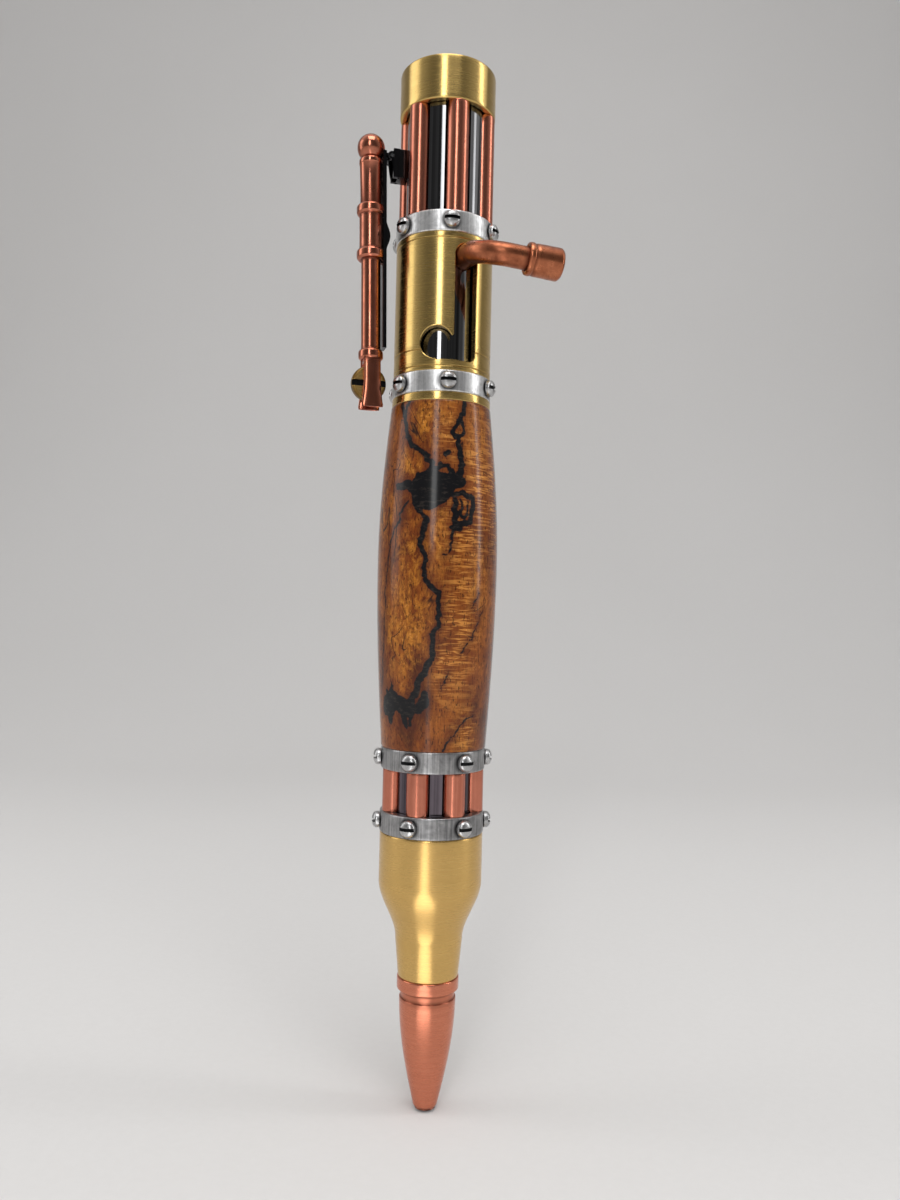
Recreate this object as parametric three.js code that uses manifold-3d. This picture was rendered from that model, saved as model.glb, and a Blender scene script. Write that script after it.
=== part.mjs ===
// Bolt-action pen: a turned wooden barrel between slotted-screw bands, with a brass
// housing whose bent lever pushes the refill out against a spring, and a pipe clip.
// Millimetres, +Z along the pen towards the cap, origin at the writing end.
// Azimuths are measured from the front (-Y) towards +X, in degrees.

import * as THREE from 'three';
import { mergeVertices } from 'three/addons/utils/BufferGeometryUtils.js';
import Module from 'manifold-3d';

const wasm = await Module();
wasm.setup();

// Facet counts
const bodySteps = 32;
const rodSteps = 12;
const screwSteps = 8;
const curveSteps = 7;

// Lengths along the pen, from the writing end up
const tipLength = 16.9;
const nibLength = 18.6;
const bandHeight = 2.75;
const lowerRodLength = 5.4;
const woodLength = 44.05;
const trimHeight = 1.05;
const housingLength = 17.6;
const upperRodLength = 14.3;
const capHeight = 5.7;

// Radii of the turned pieces, most of them set off from the housing's
const noseRadius = 1.55;
const tipRootRadius = 3.65;
const collarRadius = 4.0;
const neckRadius = 3.9;
const housingRadius = 6.35;
const nibProud = 0.33;
const nibRadius = housingRadius + nibProud;
const lowerBandProud = 0.4;
const lowerBandRadius = housingRadius + lowerBandProud;
const upperBandProud = 0.1;
const upperBandRadius = housingRadius + upperBandProud;
const woodLowerProud = 0.45;
const woodLowerRadius = housingRadius + woodLowerProud;
const woodBellyProud = 1.47;
const woodBellyRadius = housingRadius + woodBellyProud;
const woodUpperProud = 0.15;
const woodUpperRadius = housingRadius + woodUpperProud;
const capInset = 0.05;
const capRadius = housingRadius - capInset;

// Walls, bores and clearances
const housingWall = 1;
const boreRadius = housingRadius - housingWall;
const sleeveWall = 0.45;
const fitClearance = 0.05;
const slideClearance = 0.3;
const overrun = 1;
const edgeBreak = 0.25;
const grooveDepth = 0.12;
const grooveHeight = 0.18;

// Rods round the two open stretches
const upperCoreBore = 2.9;
const coreWallBehindRod = 0.55;
const rodRadius = (housingRadius - upperCoreBore - coreWallBehindRod) / 2;
const upperRodCount = 6;
const lowerRodCount = 7;
const upperRodAzimuth = 16.5;
const lowerRodAzimuth = -19.2;
const lowerRodInset = 0.1;
const lowerRodEnvelope = lowerBandRadius - lowerRodInset;
const upperRodEnvelope = housingRadius;
const spigotDepth = 3;
const lowerSpigotDepth = 5;

// Band screws
const screwsPerBand = 6;
const upperScrewAzimuth = 8;
const lowerScrewAzimuth = -23.5;
const screwHeadRadius = 1.05;
const screwHeadHeight = 0.95;
const screwShankRadius = 0.45;
const screwShankLength = 0.45;
const screwSlotWidth = 0.34;
const screwSlotDepth = 0.4;

// Refill and spring
const refillLength = 97.5;
const refillSetback = 5.5;
const refillRadius = 2.9;
const refillStemRadius = 0.95;
const refillStemLength = 27.8;
const refillPointLength = 3;
const refillBallRadius = 0.3;
const noseBoreRadius = 1.2;
const springSeat = 14;
const springRadius = 2.1;
const springWireRadius = 0.25;
const springTurns = 10;
const springTurnSteps = 8;
const springSides = 5;
const tipSpigotLength = 3.4;
const tipSpigotWall = 0.4;

// Bolt, its lever and the slot they run in
const leverAzimuth = 28;
const leverRadius = 1.42;
const leverDrop = 2.85;
const leverReach = 11.7;
const leverBendDrop = 1.2;
const leverArmLength = 7.0;
const leverArmAzimuth = 103;
const leverArmSlope = 5;
const leverStraight = 1.2;
const leverRootDepth = 2.6;
const knobRadius = 2.0;
const knobLength = 4.5;
const knobBoreDepth = 2.2;
const knobCrown = 0.5;
const slotClearance = 0.12;
const slotCornerShare = 0.6;
const travel = 11.9;
const catchAzimuth = -6.5;
const catchRadius = 2.1;
const catchLift = 0.1;
const passageHeight = 3.2;
const boltRadius = boreRadius - slideClearance;
const boltStemRadius = 2.6;
const boltStemLength = 14.5;
const boltSkirt = 0.35;
const boltTopGap = 0.85;

// Clip
const clipAzimuth = upperRodAzimuth - 90;
const clipLean = 1.3;
const clipStandOff = 1.25;
const clipHingeRadius = housingRadius + clipStandOff;
const clipHingeDrop = 6.0;
const pipeOffset = 2.6;
const pipeRadius = 1.35;
const pipeSleeveRadius = 1.5;
const pipeLowerRadius = 1.25;
const pipeCollarRadius = 1.85;
const pipeEndCollarRadius = 1.6;
const pipeBallRadius = 1.8;
const pipeBallRise = 0.95;
const ballSeatShare = 0.8;
const collarEdgeShare = 0.2;
const pipeLength = 26.7;
const collarLength = 1.3;
const sleeveLength = 4.5;
const sleeveDrop = 7.9;
const ballCollarLength = 1.0;
const ballCollarRadius = 1.55;
const stripThickness = 0.5;
const stripWidth = 1.8;
const stripRise = 0.6;
const stripTail = 1.6;
const bumpHeight = 0.5;
const bumpLength = 3.6;
const bumpDrop = 10.5;
const lugWidth = 0.9;
const lugClearance = 0.08;
const lugRadius = 0.55;
const earRadius = 0.58;
const earThickness = 0.5;
const hingePinRadius = 0.3;
const bracketHeight = 3.8;
const bracketBlockSetback = 0.2;
const bracketRise = 1.0;
const bracketSlotDepth = 0.8;
const tenonDepth = 1.0;
const tenonHeight = 2.6;
const tenonWidth = 1.2;
const rollerRadius = 2.25;
const rollerThickness = 1.3;
const rollerSpan = 3.1;
const rollerDrop = pipeLength + rollerSpan;
const rollerOffset = 0.3;
const rollerSlotWidth = 0.8;
const rollerSlotDepth = 0.25;
const rollerGap = 0.12;
const axleRadius = 0.5;
const prongThickness = 0.65;
const prongWidth = 2.2;
const prongFootWidth = 2.9;
const prongTail = 3.1;
const yokeHeight = 0.8;
const yokeSink = 0.25;

// Shared radii
const nibBoreRadius = refillRadius + slideClearance;
const sleeveRadius = boreRadius + sleeveWall;
const housingSpigotRadius = sleeveRadius - fitClearance;
const coreRadius = boreRadius - fitClearance;
const bracketWidth = lugWidth + 2 * (lugClearance + earThickness);
const forkWidth = rollerThickness + 2 * (rollerGap + prongThickness);
const stripFace = pipeOffset - pipeRadius - fitClearance;

// Levels
const nibBase = tipLength;
const nibTop = nibBase + nibLength;
const lowBandTop = nibTop + bandHeight;
const midBandBase = lowBandTop + lowerRodLength;
const woodBase = midBandBase + bandHeight;
const woodTop = woodBase + woodLength;
const trimTop = woodTop + trimHeight;
const housingBase = trimTop + bandHeight;
const housingTop = housingBase + housingLength;
const topBandTop = housingTop + bandHeight;
const capBase = topBandTop + upperRodLength;
const capTop = capBase + capHeight;
const leverLevel = housingTop - leverDrop;
const slotBase = leverLevel - travel - leverRadius - slotClearance;
const clipHingeLevel = capBase - clipHingeDrop;
const sleeveSeat = woodTop + trimHeight / 2;
const boltTop = housingTop - boltTopGap;
const coreBase = boltTop + slideClearance;
const refillTop = refillSetback + refillLength;
const refillShoulder = refillSetback + refillStemLength;

function material(color, roughness, metalness) {
  return new THREE.MeshStandardMaterial({ color, roughness, metalness });
}

const finishes = {
  copper: () => material(0xb86a48, 0.3, 1),
  brass: () => material(0xb8943c, 0.3, 1),
  pewter: () => material(0x9a9b9c, 0.4, 1),
  blackChrome: () => material(0x1b1b1e, 0.15, 1),
  wood: () => material(0x9a5a22, 0.35, 0),
  steel: () => material(0xb9bcc0, 0.25, 1),
  plastic: () => material(0x22262c, 0.5, 0),
};

function radians(degrees) {
  return THREE.MathUtils.degToRad(degrees);
}

// Signed volume of an indexed triangle mesh
function signedVolume(position, index) {
  const corners = [new THREE.Vector3(), new THREE.Vector3(), new THREE.Vector3()];
  let volume = 0;
  for (let at = 0; at < index.length; at += 3) {
    corners.forEach((corner, side) => corner.fromBufferAttribute(position, index[at + side]));
    volume += corners[0].dot(corners[1].cross(corners[2]));
  }
  return volume;
}

// Closed solid from a three.js geometry, with its faces outward
function solid(geometry) {
  const bare = geometry.clone();
  bare.deleteAttribute('normal');
  bare.deleteAttribute('uv');
  const merged = mergeVertices(bare);
  const triangles = [];
  const source = merged.index.array;
  for (let at = 0; at < source.length; at += 3) {
    const [a, b, c] = [source[at], source[at + 1], source[at + 2]];
    if (a !== b && b !== c && c !== a) {
      triangles.push(a, b, c);
    }
  }
  if (signedVolume(merged.attributes.position, triangles) < 0) {
    triangles.reverse();
  }
  const vertProperties = new Float32Array(merged.attributes.position.array);
  const triVerts = new Uint32Array(triangles);
  return new wasm.Manifold(new wasm.Mesh({ numProp: 3, vertProperties, triVerts }));
}

function geometryOf(manifold) {
  const mesh = manifold.getMesh();
  const geometry = new THREE.BufferGeometry();
  geometry.setAttribute('position', new THREE.BufferAttribute(new Float32Array(mesh.vertProperties), 3));
  geometry.setIndex(new THREE.BufferAttribute(new Uint32Array(mesh.triVerts), 1));
  geometry.computeVertexNormals();
  return geometry;
}

function piece(name, manifold, finish) {
  const mesh = new THREE.Mesh(geometryOf(manifold), finishes[finish]());
  mesh.name = name;
  return mesh;
}

// Solid turned about Z from [radius, height] points that close on themselves or on the axis
function turned(profile, steps = bodySteps) {
  const closed = profile[0][0] > 0;
  const outline = closed ? [...profile, profile[0]] : profile;
  const points = outline.map(([radius, height]) => new THREE.Vector2(radius, height));
  return new THREE.LatheGeometry(points, steps).rotateX(Math.PI / 2);
}

function ring(inner, outer, base, top) {
  return turned([[inner, base], [outer, base], [outer, top], [inner, top]]);
}

// Ring whose outer edges are broken by a small chamfer
function bandRing(inner, outer, base) {
  const top = base + bandHeight;
  return turned([
    [inner, base], [outer - edgeBreak, base], [outer, base + edgeBreak],
    [outer, top - edgeBreak], [outer - edgeBreak, top], [inner, top],
  ]);
}

// Round bar along Z from base to top, with its axis at the given radius in front of the pen
function upright(radius, base, top, reach, steps = rodSteps) {
  const bar = new THREE.CylinderGeometry(radius, radius, top - base, steps);
  return bar.rotateX(Math.PI / 2).translate(0, -reach, (base + top) / 2);
}

// Turns a geometry that was made in front of the pen round to an azimuth
function turnTo(geometry, azimuth) {
  return geometry.rotateZ(radians(azimuth));
}

// Round bar that points out of the pen at the front, from one radius to another
function spoke(radius, inner, outer, level, steps = rodSteps) {
  const bar = new THREE.CylinderGeometry(radius, radius, outer - inner, steps);
  return bar.translate(0, -(inner + outer) / 2, level);
}

// Round bar across the front of the pen, as a hinge pin or an axle lies
function crossBar(radius, length, steps = rodSteps) {
  return new THREE.CylinderGeometry(radius, radius, length, steps).rotateZ(Math.PI / 2);
}

function block(width, depth, height) {
  return new THREE.BoxGeometry(width, depth, height);
}

function azimuths(count, first) {
  return Array.from({ length: count }, (_, index) => first + (index * 360) / count);
}

// Points of a curve between two heights, from a function of the share of the way
function sweep(base, top, radiusAt, steps = curveSteps) {
  return Array.from({ length: steps + 1 }, (_, index) => {
    const share = index / steps;
    return [radiusAt(share), base + (top - base) * share];
  });
}

// Bullet-shaped tip with a collar, a groove and a spigot inside the nib
function makeTip() {
  const collarHeight = 1.6;
  const tipGrooveHeight = 1.1;
  const tipGrooveDepth = 0.15;
  const noseRound = 0.3;
  const collarBase = tipLength - collarHeight;
  const ogiveTop = collarBase - tipGrooveHeight;
  const ogive = (share) => noseRadius + (tipRootRadius - noseRadius) * Math.sin((share * Math.PI) / 2);
  const cavityRadius = nibBoreRadius - fitClearance - tipSpigotWall;
  return solid(turned([
    [noseBoreRadius, 0],
    [noseRadius - noseRound, 0],
    ...sweep(noseRound, ogiveTop, ogive),
    [tipRootRadius - tipGrooveDepth, ogiveTop],
    [tipRootRadius - tipGrooveDepth, collarBase],
    [collarRadius, collarBase],
    [collarRadius, tipLength],
    [nibBoreRadius - fitClearance, tipLength],
    [nibBoreRadius - fitClearance, tipLength + tipSpigotLength],
    [cavityRadius, tipLength + tipSpigotLength],
    [cavityRadius, springSeat],
    [noseBoreRadius, springSeat],
  ]));
}

// Bottle-necked nib section
function makeNib() {
  const neckShare = 0.26;
  const shoulderShare = 0.66;
  const neckFlare = 0.45;
  const neckTop = nibBase + nibLength * neckShare;
  const shoulderTop = nibBase + nibLength * shoulderShare;
  const shoulder = (share) => {
    const rise = share * share * (3 - 2 * share);
    return neckRadius + neckFlare + (nibRadius - neckRadius - neckFlare) * rise;
  };
  return solid(turned([
    [nibBoreRadius, nibBase],
    [neckRadius, nibBase],
    ...sweep(neckTop, shoulderTop, shoulder),
    [nibRadius, nibTop],
    [boreRadius, nibTop],
    [boreRadius, nibTop - lowerSpigotDepth],
    [nibBoreRadius, nibTop - lowerSpigotDepth],
  ]));
}

// One slotted button-head screw, with its axis along Z and its head's seat at zero
function makeScrew() {
  const rimHeightShare = 0.45;
  const crownHeightShare = 0.9;
  const crownRadiusShare = 0.75;
  const body = solid(turned([
    [0, -screwShankLength],
    [screwShankRadius, -screwShankLength],
    [screwShankRadius, 0],
    [screwHeadRadius, 0],
    [screwHeadRadius, screwHeadHeight * rimHeightShare],
    [screwHeadRadius * crownRadiusShare, screwHeadHeight * crownHeightShare],
    [0, screwHeadHeight],
  ], screwSteps));
  const slot = block(screwHeadRadius * 2 + overrun, screwSlotWidth, screwSlotDepth * 2);
  return body.subtract(solid(slot.translate(0, 0, screwHeadHeight)));
}

// A band with its ring of screws
function makeBand(name, inner, outer, base, firstAzimuth) {
  const group = new THREE.Group();
  const middle = base + bandHeight / 2;
  const seat = outer + fitClearance;
  let band = solid(bandRing(inner, outer, base));
  const screw = makeScrew();
  azimuths(screwsPerBand, firstAzimuth).forEach((azimuth, index) => {
    const hole = spoke(screwShankRadius + fitClearance, inner - overrun, outer + overrun, middle);
    band = band.subtract(solid(turnTo(hole, azimuth)));
    const mesh = piece(`${name}_screw_${index + 1}`, screw, 'pewter');
    const outward = new THREE.Vector3(Math.sin(radians(azimuth)), -Math.cos(radians(azimuth)), 0);
    const across = new THREE.Vector3(Math.cos(radians(azimuth)), Math.sin(radians(azimuth)), 0);
    const up = new THREE.Vector3(0, 0, 1);
    mesh.quaternion.setFromRotationMatrix(new THREE.Matrix4().makeBasis(across, up, outward));
    mesh.position.copy(outward).multiplyScalar(seat).setZ(middle);
    group.add(mesh);
  });
  group.add(piece(name, band, 'pewter'));
  return group;
}

// Copper rods round a stretch, and the cutter that clears them from the core behind
function makeRods(name, count, firstAzimuth, envelope, base, top) {
  const group = new THREE.Group();
  const reach = envelope - rodRadius;
  let cutter = null;
  azimuths(count, firstAzimuth).forEach((azimuth, index) => {
    const rod = turnTo(upright(rodRadius, base, top, reach), azimuth);
    group.add(piece(`${name}_${index + 1}`, solid(rod), 'copper'));
    const around = upright(rodRadius + fitClearance, base - fitClearance, top + fitClearance, reach);
    const groove = solid(turnTo(around, azimuth));
    cutter = cutter ? cutter.add(groove) : groove;
  });
  return { group, cutter };
}

// Wooden barrel: a belly between two necks
function makeWood() {
  const bellyShare = 0.55;
  const belly = woodBase + woodLength * bellyShare;
  const rise = (low, high) => (share) => low + (high - low) * Math.sin((share * Math.PI) / 2);
  const fall = (low, high) => (share) => low + (high - low) * Math.cos((share * Math.PI) / 2);
  const inner = sleeveRadius + fitClearance;
  const lower = sweep(woodBase, belly, rise(woodLowerRadius, woodBellyRadius));
  const upper = sweep(belly, woodTop, fall(woodUpperRadius, woodBellyRadius));
  return solid(turned([[inner, woodBase], ...lower, ...upper.slice(1), [inner, woodTop]]));
}

// Brass sleeve in the wood, with the flange that shows as a trim ring
function makeSleeve() {
  return solid(turned([
    [boreRadius, woodBase],
    [sleeveRadius, woodBase],
    [sleeveRadius, woodTop],
    [upperBandRadius, woodTop],
    [upperBandRadius, trimTop],
    [housingSpigotRadius + fitClearance, trimTop],
    [housingSpigotRadius + fitClearance, sleeveSeat],
    [boreRadius, sleeveSeat],
  ]));
}

// Level grooves round the housing, from the base up
function grooveAt(level) {
  return [
    [housingRadius, level - grooveHeight / 2],
    [housingRadius - grooveDepth, level],
    [housingRadius, level + grooveHeight / 2],
  ];
}

// Brass housing with the hooked slot for the lever
function makeHousing() {
  const lowGroove = 0.55;
  const midGroove = 2.65;
  const highGroove = 0.75;
  const tube = solid(turned([
    [boreRadius, sleeveSeat + fitClearance],
    [housingSpigotRadius, sleeveSeat + fitClearance],
    [housingSpigotRadius, housingBase],
    [housingRadius, housingBase],
    ...grooveAt(housingBase + lowGroove),
    ...grooveAt(housingBase + midGroove),
    ...grooveAt(housingTop - highGroove),
    [housingRadius, housingTop],
    [boreRadius, housingTop],
  ]));
  const half = leverRadius + slotClearance;
  const slotShape = roundedSlot(half, slotBase, leverLevel + half);
  const straight = turnTo(slotShape, leverAzimuth);
  const catchLevel = slotBase + catchRadius + catchLift;
  const [cutFrom, cutTo] = [boreRadius - overrun, housingRadius + overrun];
  const pocket = spoke(catchRadius, cutFrom, cutTo, catchLevel, rodSteps * 2);
  const between = (leverAzimuth + catchAzimuth) / 2;
  const spread = 2 * housingRadius * Math.sin(radians((leverAzimuth - catchAzimuth) / 2));
  const passage = block(spread, cutTo - cutFrom, passageHeight);
  passage.translate(0, -housingRadius, slotBase + passageHeight / 2);
  return tube
    .subtract(solid(straight))
    .subtract(solid(turnTo(pocket, catchAzimuth)))
    .subtract(solid(turnTo(passage, between)));
}

// Cutter for a slot with round corners, in front of the pen
function roundedSlot(half, base, top) {
  const corner = half * slotCornerShare;
  const shape = new THREE.Shape();
  shape.moveTo(-half, base + corner);
  shape.absarc(-half + corner, base + corner, corner, Math.PI, Math.PI * 1.5);
  shape.absarc(half - corner, base + corner, corner, Math.PI * 1.5, Math.PI * 2);
  shape.absarc(0, top - half, half, 0, Math.PI);
  shape.closePath();
  const depth = housingRadius - boreRadius + overrun * 2;
  const cutter = new THREE.ExtrudeGeometry(shape, { depth, bevelEnabled: false, curveSegments: rodSteps / 2 });
  return cutter.rotateX(Math.PI / 2).translate(0, -boreRadius + overrun, 0);
}

// Black core that the rods lie against, with a spigot at each end
function makeCore(base, top, bore, cutter) {
  return solid(ring(bore, coreRadius, base, top)).subtract(cutter);
}

function makeCap() {
  return solid(turned([
    [0, capBase + spigotDepth + fitClearance],
    [boreRadius, capBase + spigotDepth + fitClearance],
    [boreRadius, capBase],
    [capRadius, capBase],
    [capRadius, capTop - edgeBreak],
    [capRadius - edgeBreak, capTop],
    [0, capTop],
  ]));
}

// Path of the lever: out of the bolt, round its bend, and along its arm
function leverPath() {
  const azimuth = radians(leverAzimuth);
  const outward = new THREE.Vector3(Math.sin(azimuth), -Math.cos(azimuth), 0);
  const armAzimuth = radians(leverArmAzimuth);
  const armFall = Math.tan(radians(leverArmSlope));
  const arm = new THREE.Vector3(Math.sin(armAzimuth), -Math.cos(armAzimuth), -armFall).normalize();
  const at = (radius, drop) => outward.clone().multiplyScalar(radius).setZ(leverLevel - drop);
  const root = at(leverRootDepth, 0);
  const straightEnd = at(housingRadius + leverStraight, 0);
  const corner = at(leverReach, leverBendDrop);
  const armStart = corner.clone().addScaledVector(arm, leverRadius * 2);
  const armEnd = corner.clone().addScaledVector(arm, leverArmLength);
  const path = new THREE.CurvePath();
  path.add(new THREE.LineCurve3(root, straightEnd));
  path.add(new THREE.QuadraticBezierCurve3(straightEnd, corner, armStart));
  path.add(new THREE.LineCurve3(armStart, armEnd));
  return { path, armEnd, arm };
}

function makeLever(path) {
  const section = new THREE.Shape();
  section.absarc(0, 0, leverRadius, 0, Math.PI * 2);
  const options = { steps: curveSteps * 3, extrudePath: path, curveSegments: rodSteps / 2 };
  return solid(new THREE.ExtrudeGeometry(section, options));
}

// Barrel-shaped knob bored to take the end of the lever's arm
function makeKnob() {
  const boss = knobRadius - edgeBreak;
  const bore = leverRadius + fitClearance;
  return solid(turned([
    [bore, 0],
    [boss, 0],
    [knobRadius, edgeBreak],
    [knobRadius, knobLength - knobCrown],
    [knobRadius - knobCrown, knobLength],
    [0, knobLength],
    [0, knobBoreDepth],
    [bore, knobBoreDepth],
  ], rodSteps * 2));
}

// Sliding bolt: a skirt in the housing, a stem in the core and a socket for the refill
function makeBolt() {
  const base = housingBase + boltSkirt;
  const socketRadius = refillRadius + 2 * fitClearance;
  const body = solid(turned([
    [socketRadius, base],
    [boltRadius, base],
    [boltRadius, boltTop],
    [boltStemRadius, boltTop],
    [boltStemRadius, boltTop + boltStemLength],
    [0, boltTop + boltStemLength],
    [0, refillTop + fitClearance],
    [socketRadius, refillTop + fitClearance],
  ]));
  const holeRadius = leverRadius + 2 * fitClearance;
  const holeBottom = leverRootDepth - fitClearance;
  const hole = spoke(holeRadius, holeBottom, boltRadius + overrun, leverLevel, bodySteps / 2);
  return body.subtract(solid(turnTo(hole, leverAzimuth)));
}

// Refill with a ball point, a thin stem and a shoulder for the spring
function makeRefill() {
  return solid(turned([
    [0, refillSetback],
    [refillBallRadius, refillSetback],
    [refillStemRadius, refillSetback + refillPointLength],
    [refillStemRadius, refillShoulder],
    [refillRadius, refillShoulder],
    [refillRadius, refillTop],
    [0, refillTop],
  ], rodSteps * 2));
}

// Return spring: one wire that climbs a helix from the tip's seat to the refill's shoulder
function makeSpring() {
  const clear = springWireRadius + fitClearance;
  const base = springSeat + clear;
  const rise = refillShoulder - clear - base;
  const steps = springTurns * springTurnSteps;
  const centres = [];
  const positions = [];
  const index = [];
  for (let step = 0; step <= steps; step += 1) {
    const angle = (step / springTurnSteps) * Math.PI * 2;
    const outward = new THREE.Vector3(Math.cos(angle), Math.sin(angle), 0);
    const centre = outward.clone().multiplyScalar(springRadius).setZ(base + (rise * step) / steps);
    centres.push(centre);
    for (let side = 0; side < springSides; side += 1) {
      const turn = (side / springSides) * Math.PI * 2;
      const point = centre.clone().addScaledVector(outward, springWireRadius * Math.cos(turn));
      point.z += springWireRadius * Math.sin(turn);
      positions.push(point.x, point.y, point.z);
    }
  }
  for (let step = 0; step < steps; step += 1) {
    for (let side = 0; side < springSides; side += 1) {
      const next = (side + 1) % springSides;
      const [a, b] = [step * springSides + side, step * springSides + next];
      index.push(a, b, a + springSides, b, b + springSides, a + springSides);
    }
  }
  for (let side = 1; side < springSides - 1; side += 1) {
    const last = steps * springSides;
    index.push(0, side + 1, side, last, last + side, last + side + 1);
  }
  reportLeastGap(centres);
  const geometry = new THREE.BufferGeometry();
  geometry.setAttribute('position', new THREE.Float32BufferAttribute(positions, 3));
  geometry.setIndex(index);
  return solid(geometry);
}

// Prints the least gap between the spring's wire and itself a turn away
function reportLeastGap(centres) {
  let least = Infinity;
  const apart = springTurnSteps / 2;
  for (let first = 0; first < centres.length; first += 1) {
    for (let second = first + apart; second < centres.length; second += 1) {
      least = Math.min(least, centres[first].distanceTo(centres[second]));
    }
  }
  console.log(`spring: least gap to itself ${(least - 2 * springWireRadius).toFixed(2)} mm`);
}

// Bracket block between two rods, with a tenon in the core and two ears for the hinge pin
function makeBracket() {
  const outer = clipHingeRadius - bracketBlockSetback;
  const inner = boreRadius;
  const top = clipHingeLevel + bracketRise;
  const middle = top - bracketHeight / 2;
  const body = block(bracketWidth, outer - inner, bracketHeight).translate(0, -(outer + inner) / 2, middle);
  const tenon = tenonBlock(0);
  const ears = crossBar(earRadius, bracketWidth).translate(0, -clipHingeRadius, clipHingeLevel);
  const gapWidth = lugWidth + 2 * lugClearance;
  const gap = block(gapWidth, bracketSlotDepth + overrun, bracketHeight + overrun);
  gap.translate(0, -(clipHingeRadius - bracketSlotDepth + (bracketSlotDepth + overrun) / 2), middle);
  const hole = crossBar(hingePinRadius + fitClearance, bracketWidth + overrun);
  hole.translate(0, -clipHingeRadius, clipHingeLevel);
  return [tenon, ears]
    .reduce((whole, part) => whole.add(solid(part)), solid(body))
    .subtract(solid(gap))
    .subtract(solid(hole));
}

// Tenon of the bracket, or its pocket in the core when some clearance is given
function tenonBlock(clearance) {
  const depth = tenonDepth + boreRadius - coreRadius + overrun;
  const middle = clipHingeLevel + bracketRise - bracketHeight / 2;
  const tenon = block(tenonWidth + 2 * clearance, depth + clearance, tenonHeight + 2 * clearance);
  return tenon.translate(0, -(coreRadius - tenonDepth - clearance + (depth + clearance) / 2), middle);
}

// Flat black spring strip behind the pipe, with its bump and the lug for the hinge pin.
// It is drawn with the hinge at the origin and the outside of the pen towards -Y.
function makeStrip() {
  const inner = stripFace - stripThickness;
  const base = stripTail - pipeLength;
  const profile = new THREE.Shape();
  profile.moveTo(inner, base);
  profile.lineTo(stripFace, base);
  profile.lineTo(stripFace, stripRise);
  profile.lineTo(inner, stripRise);
  profile.lineTo(inner, bumpLength / 2 - bumpDrop);
  profile.quadraticCurveTo(inner - 2 * bumpHeight, -bumpDrop, inner, -bumpDrop - bumpLength / 2);
  profile.closePath();
  const web = block(lugWidth, stripFace, lugRadius * 2).translate(0, -stripFace / 2, 0);
  const hole = crossBar(hingePinRadius + fitClearance, lugWidth + overrun);
  return solid(sideways(profile, stripWidth))
    .add(solid(web))
    .add(solid(crossBar(lugRadius, lugWidth)))
    .subtract(solid(hole));
}

// Extrudes a side profile, drawn as (distance outward, height), across the front of the pen
function sideways(profile, width) {
  const options = { depth: width, bevelEnabled: false, curveSegments: curveSteps };
  const geometry = new THREE.ExtrudeGeometry(profile, options);
  const basis = new THREE.Matrix4().makeBasis(
    new THREE.Vector3(0, -1, 0),
    new THREE.Vector3(0, 0, 1),
    new THREE.Vector3(-1, 0, 0),
  );
  return geometry.applyMatrix4(basis).translate(width / 2, 0, 0);
}

// Outline of a collar on the pipe, between the radii of the pipe below and above it
function collarOutline(base, length, radius, below, above) {
  const edge = length * collarEdgeShare;
  return [
    [below, base],
    [radius - edge, base],
    [radius, base + edge],
    [radius, base + length - edge],
    [radius - edge, base + length],
    [above, base + length],
  ];
}

// Outline of the ball elbow above its seat
function ballOutline() {
  const start = -Math.asin(ballSeatShare);
  return Array.from({ length: curveSteps + 1 }, (_, step) => {
    const angle = start + ((Math.PI / 2 - start) * step) / curveSteps;
    const radius = step === curveSteps ? 0 : pipeBallRadius * Math.cos(angle);
    return [radius, pipeBallRise + pipeBallRadius * Math.sin(angle)];
  });
}

// Copper pipe with collars, a ball elbow at the top and a fork for the roller.
// It is drawn like the strip, and cut flat where it lies against it.
function makePipe() {
  const sleeveTop = -sleeveDrop;
  const sleeveFoot = sleeveTop - sleeveLength;
  const lowerCollar = sleeveFoot - collarLength;
  const ball = ballOutline();
  const [seatRadius, ballSeat] = ball[0];
  const ballCollar = ballSeat - ballCollarLength;
  const pipe = turned([
    ...collarOutline(-pipeLength, collarLength, pipeEndCollarRadius, 0, pipeLowerRadius),
    ...collarOutline(lowerCollar, collarLength, pipeCollarRadius, pipeLowerRadius, pipeSleeveRadius),
    ...collarOutline(sleeveTop, collarLength, pipeCollarRadius, pipeSleeveRadius, pipeRadius),
    ...collarOutline(ballCollar, ballCollarLength, ballCollarRadius, pipeRadius, seatRadius),
    ...ball.slice(1),
  ], rodSteps);
  const flatBase = stripTail - pipeLength - fitClearance;
  const flatTop = stripRise + fitClearance;
  const flat = block(2 * (pipeCollarRadius + overrun), stripFace + fitClearance, flatTop - flatBase);
  flat.translate(0, -(stripFace + fitClearance) / 2, (flatBase + flatTop) / 2);
  return solid(pipe.translate(0, -pipeOffset, 0))
    .add(makeFork())
    .subtract(solid(flat));
}

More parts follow.
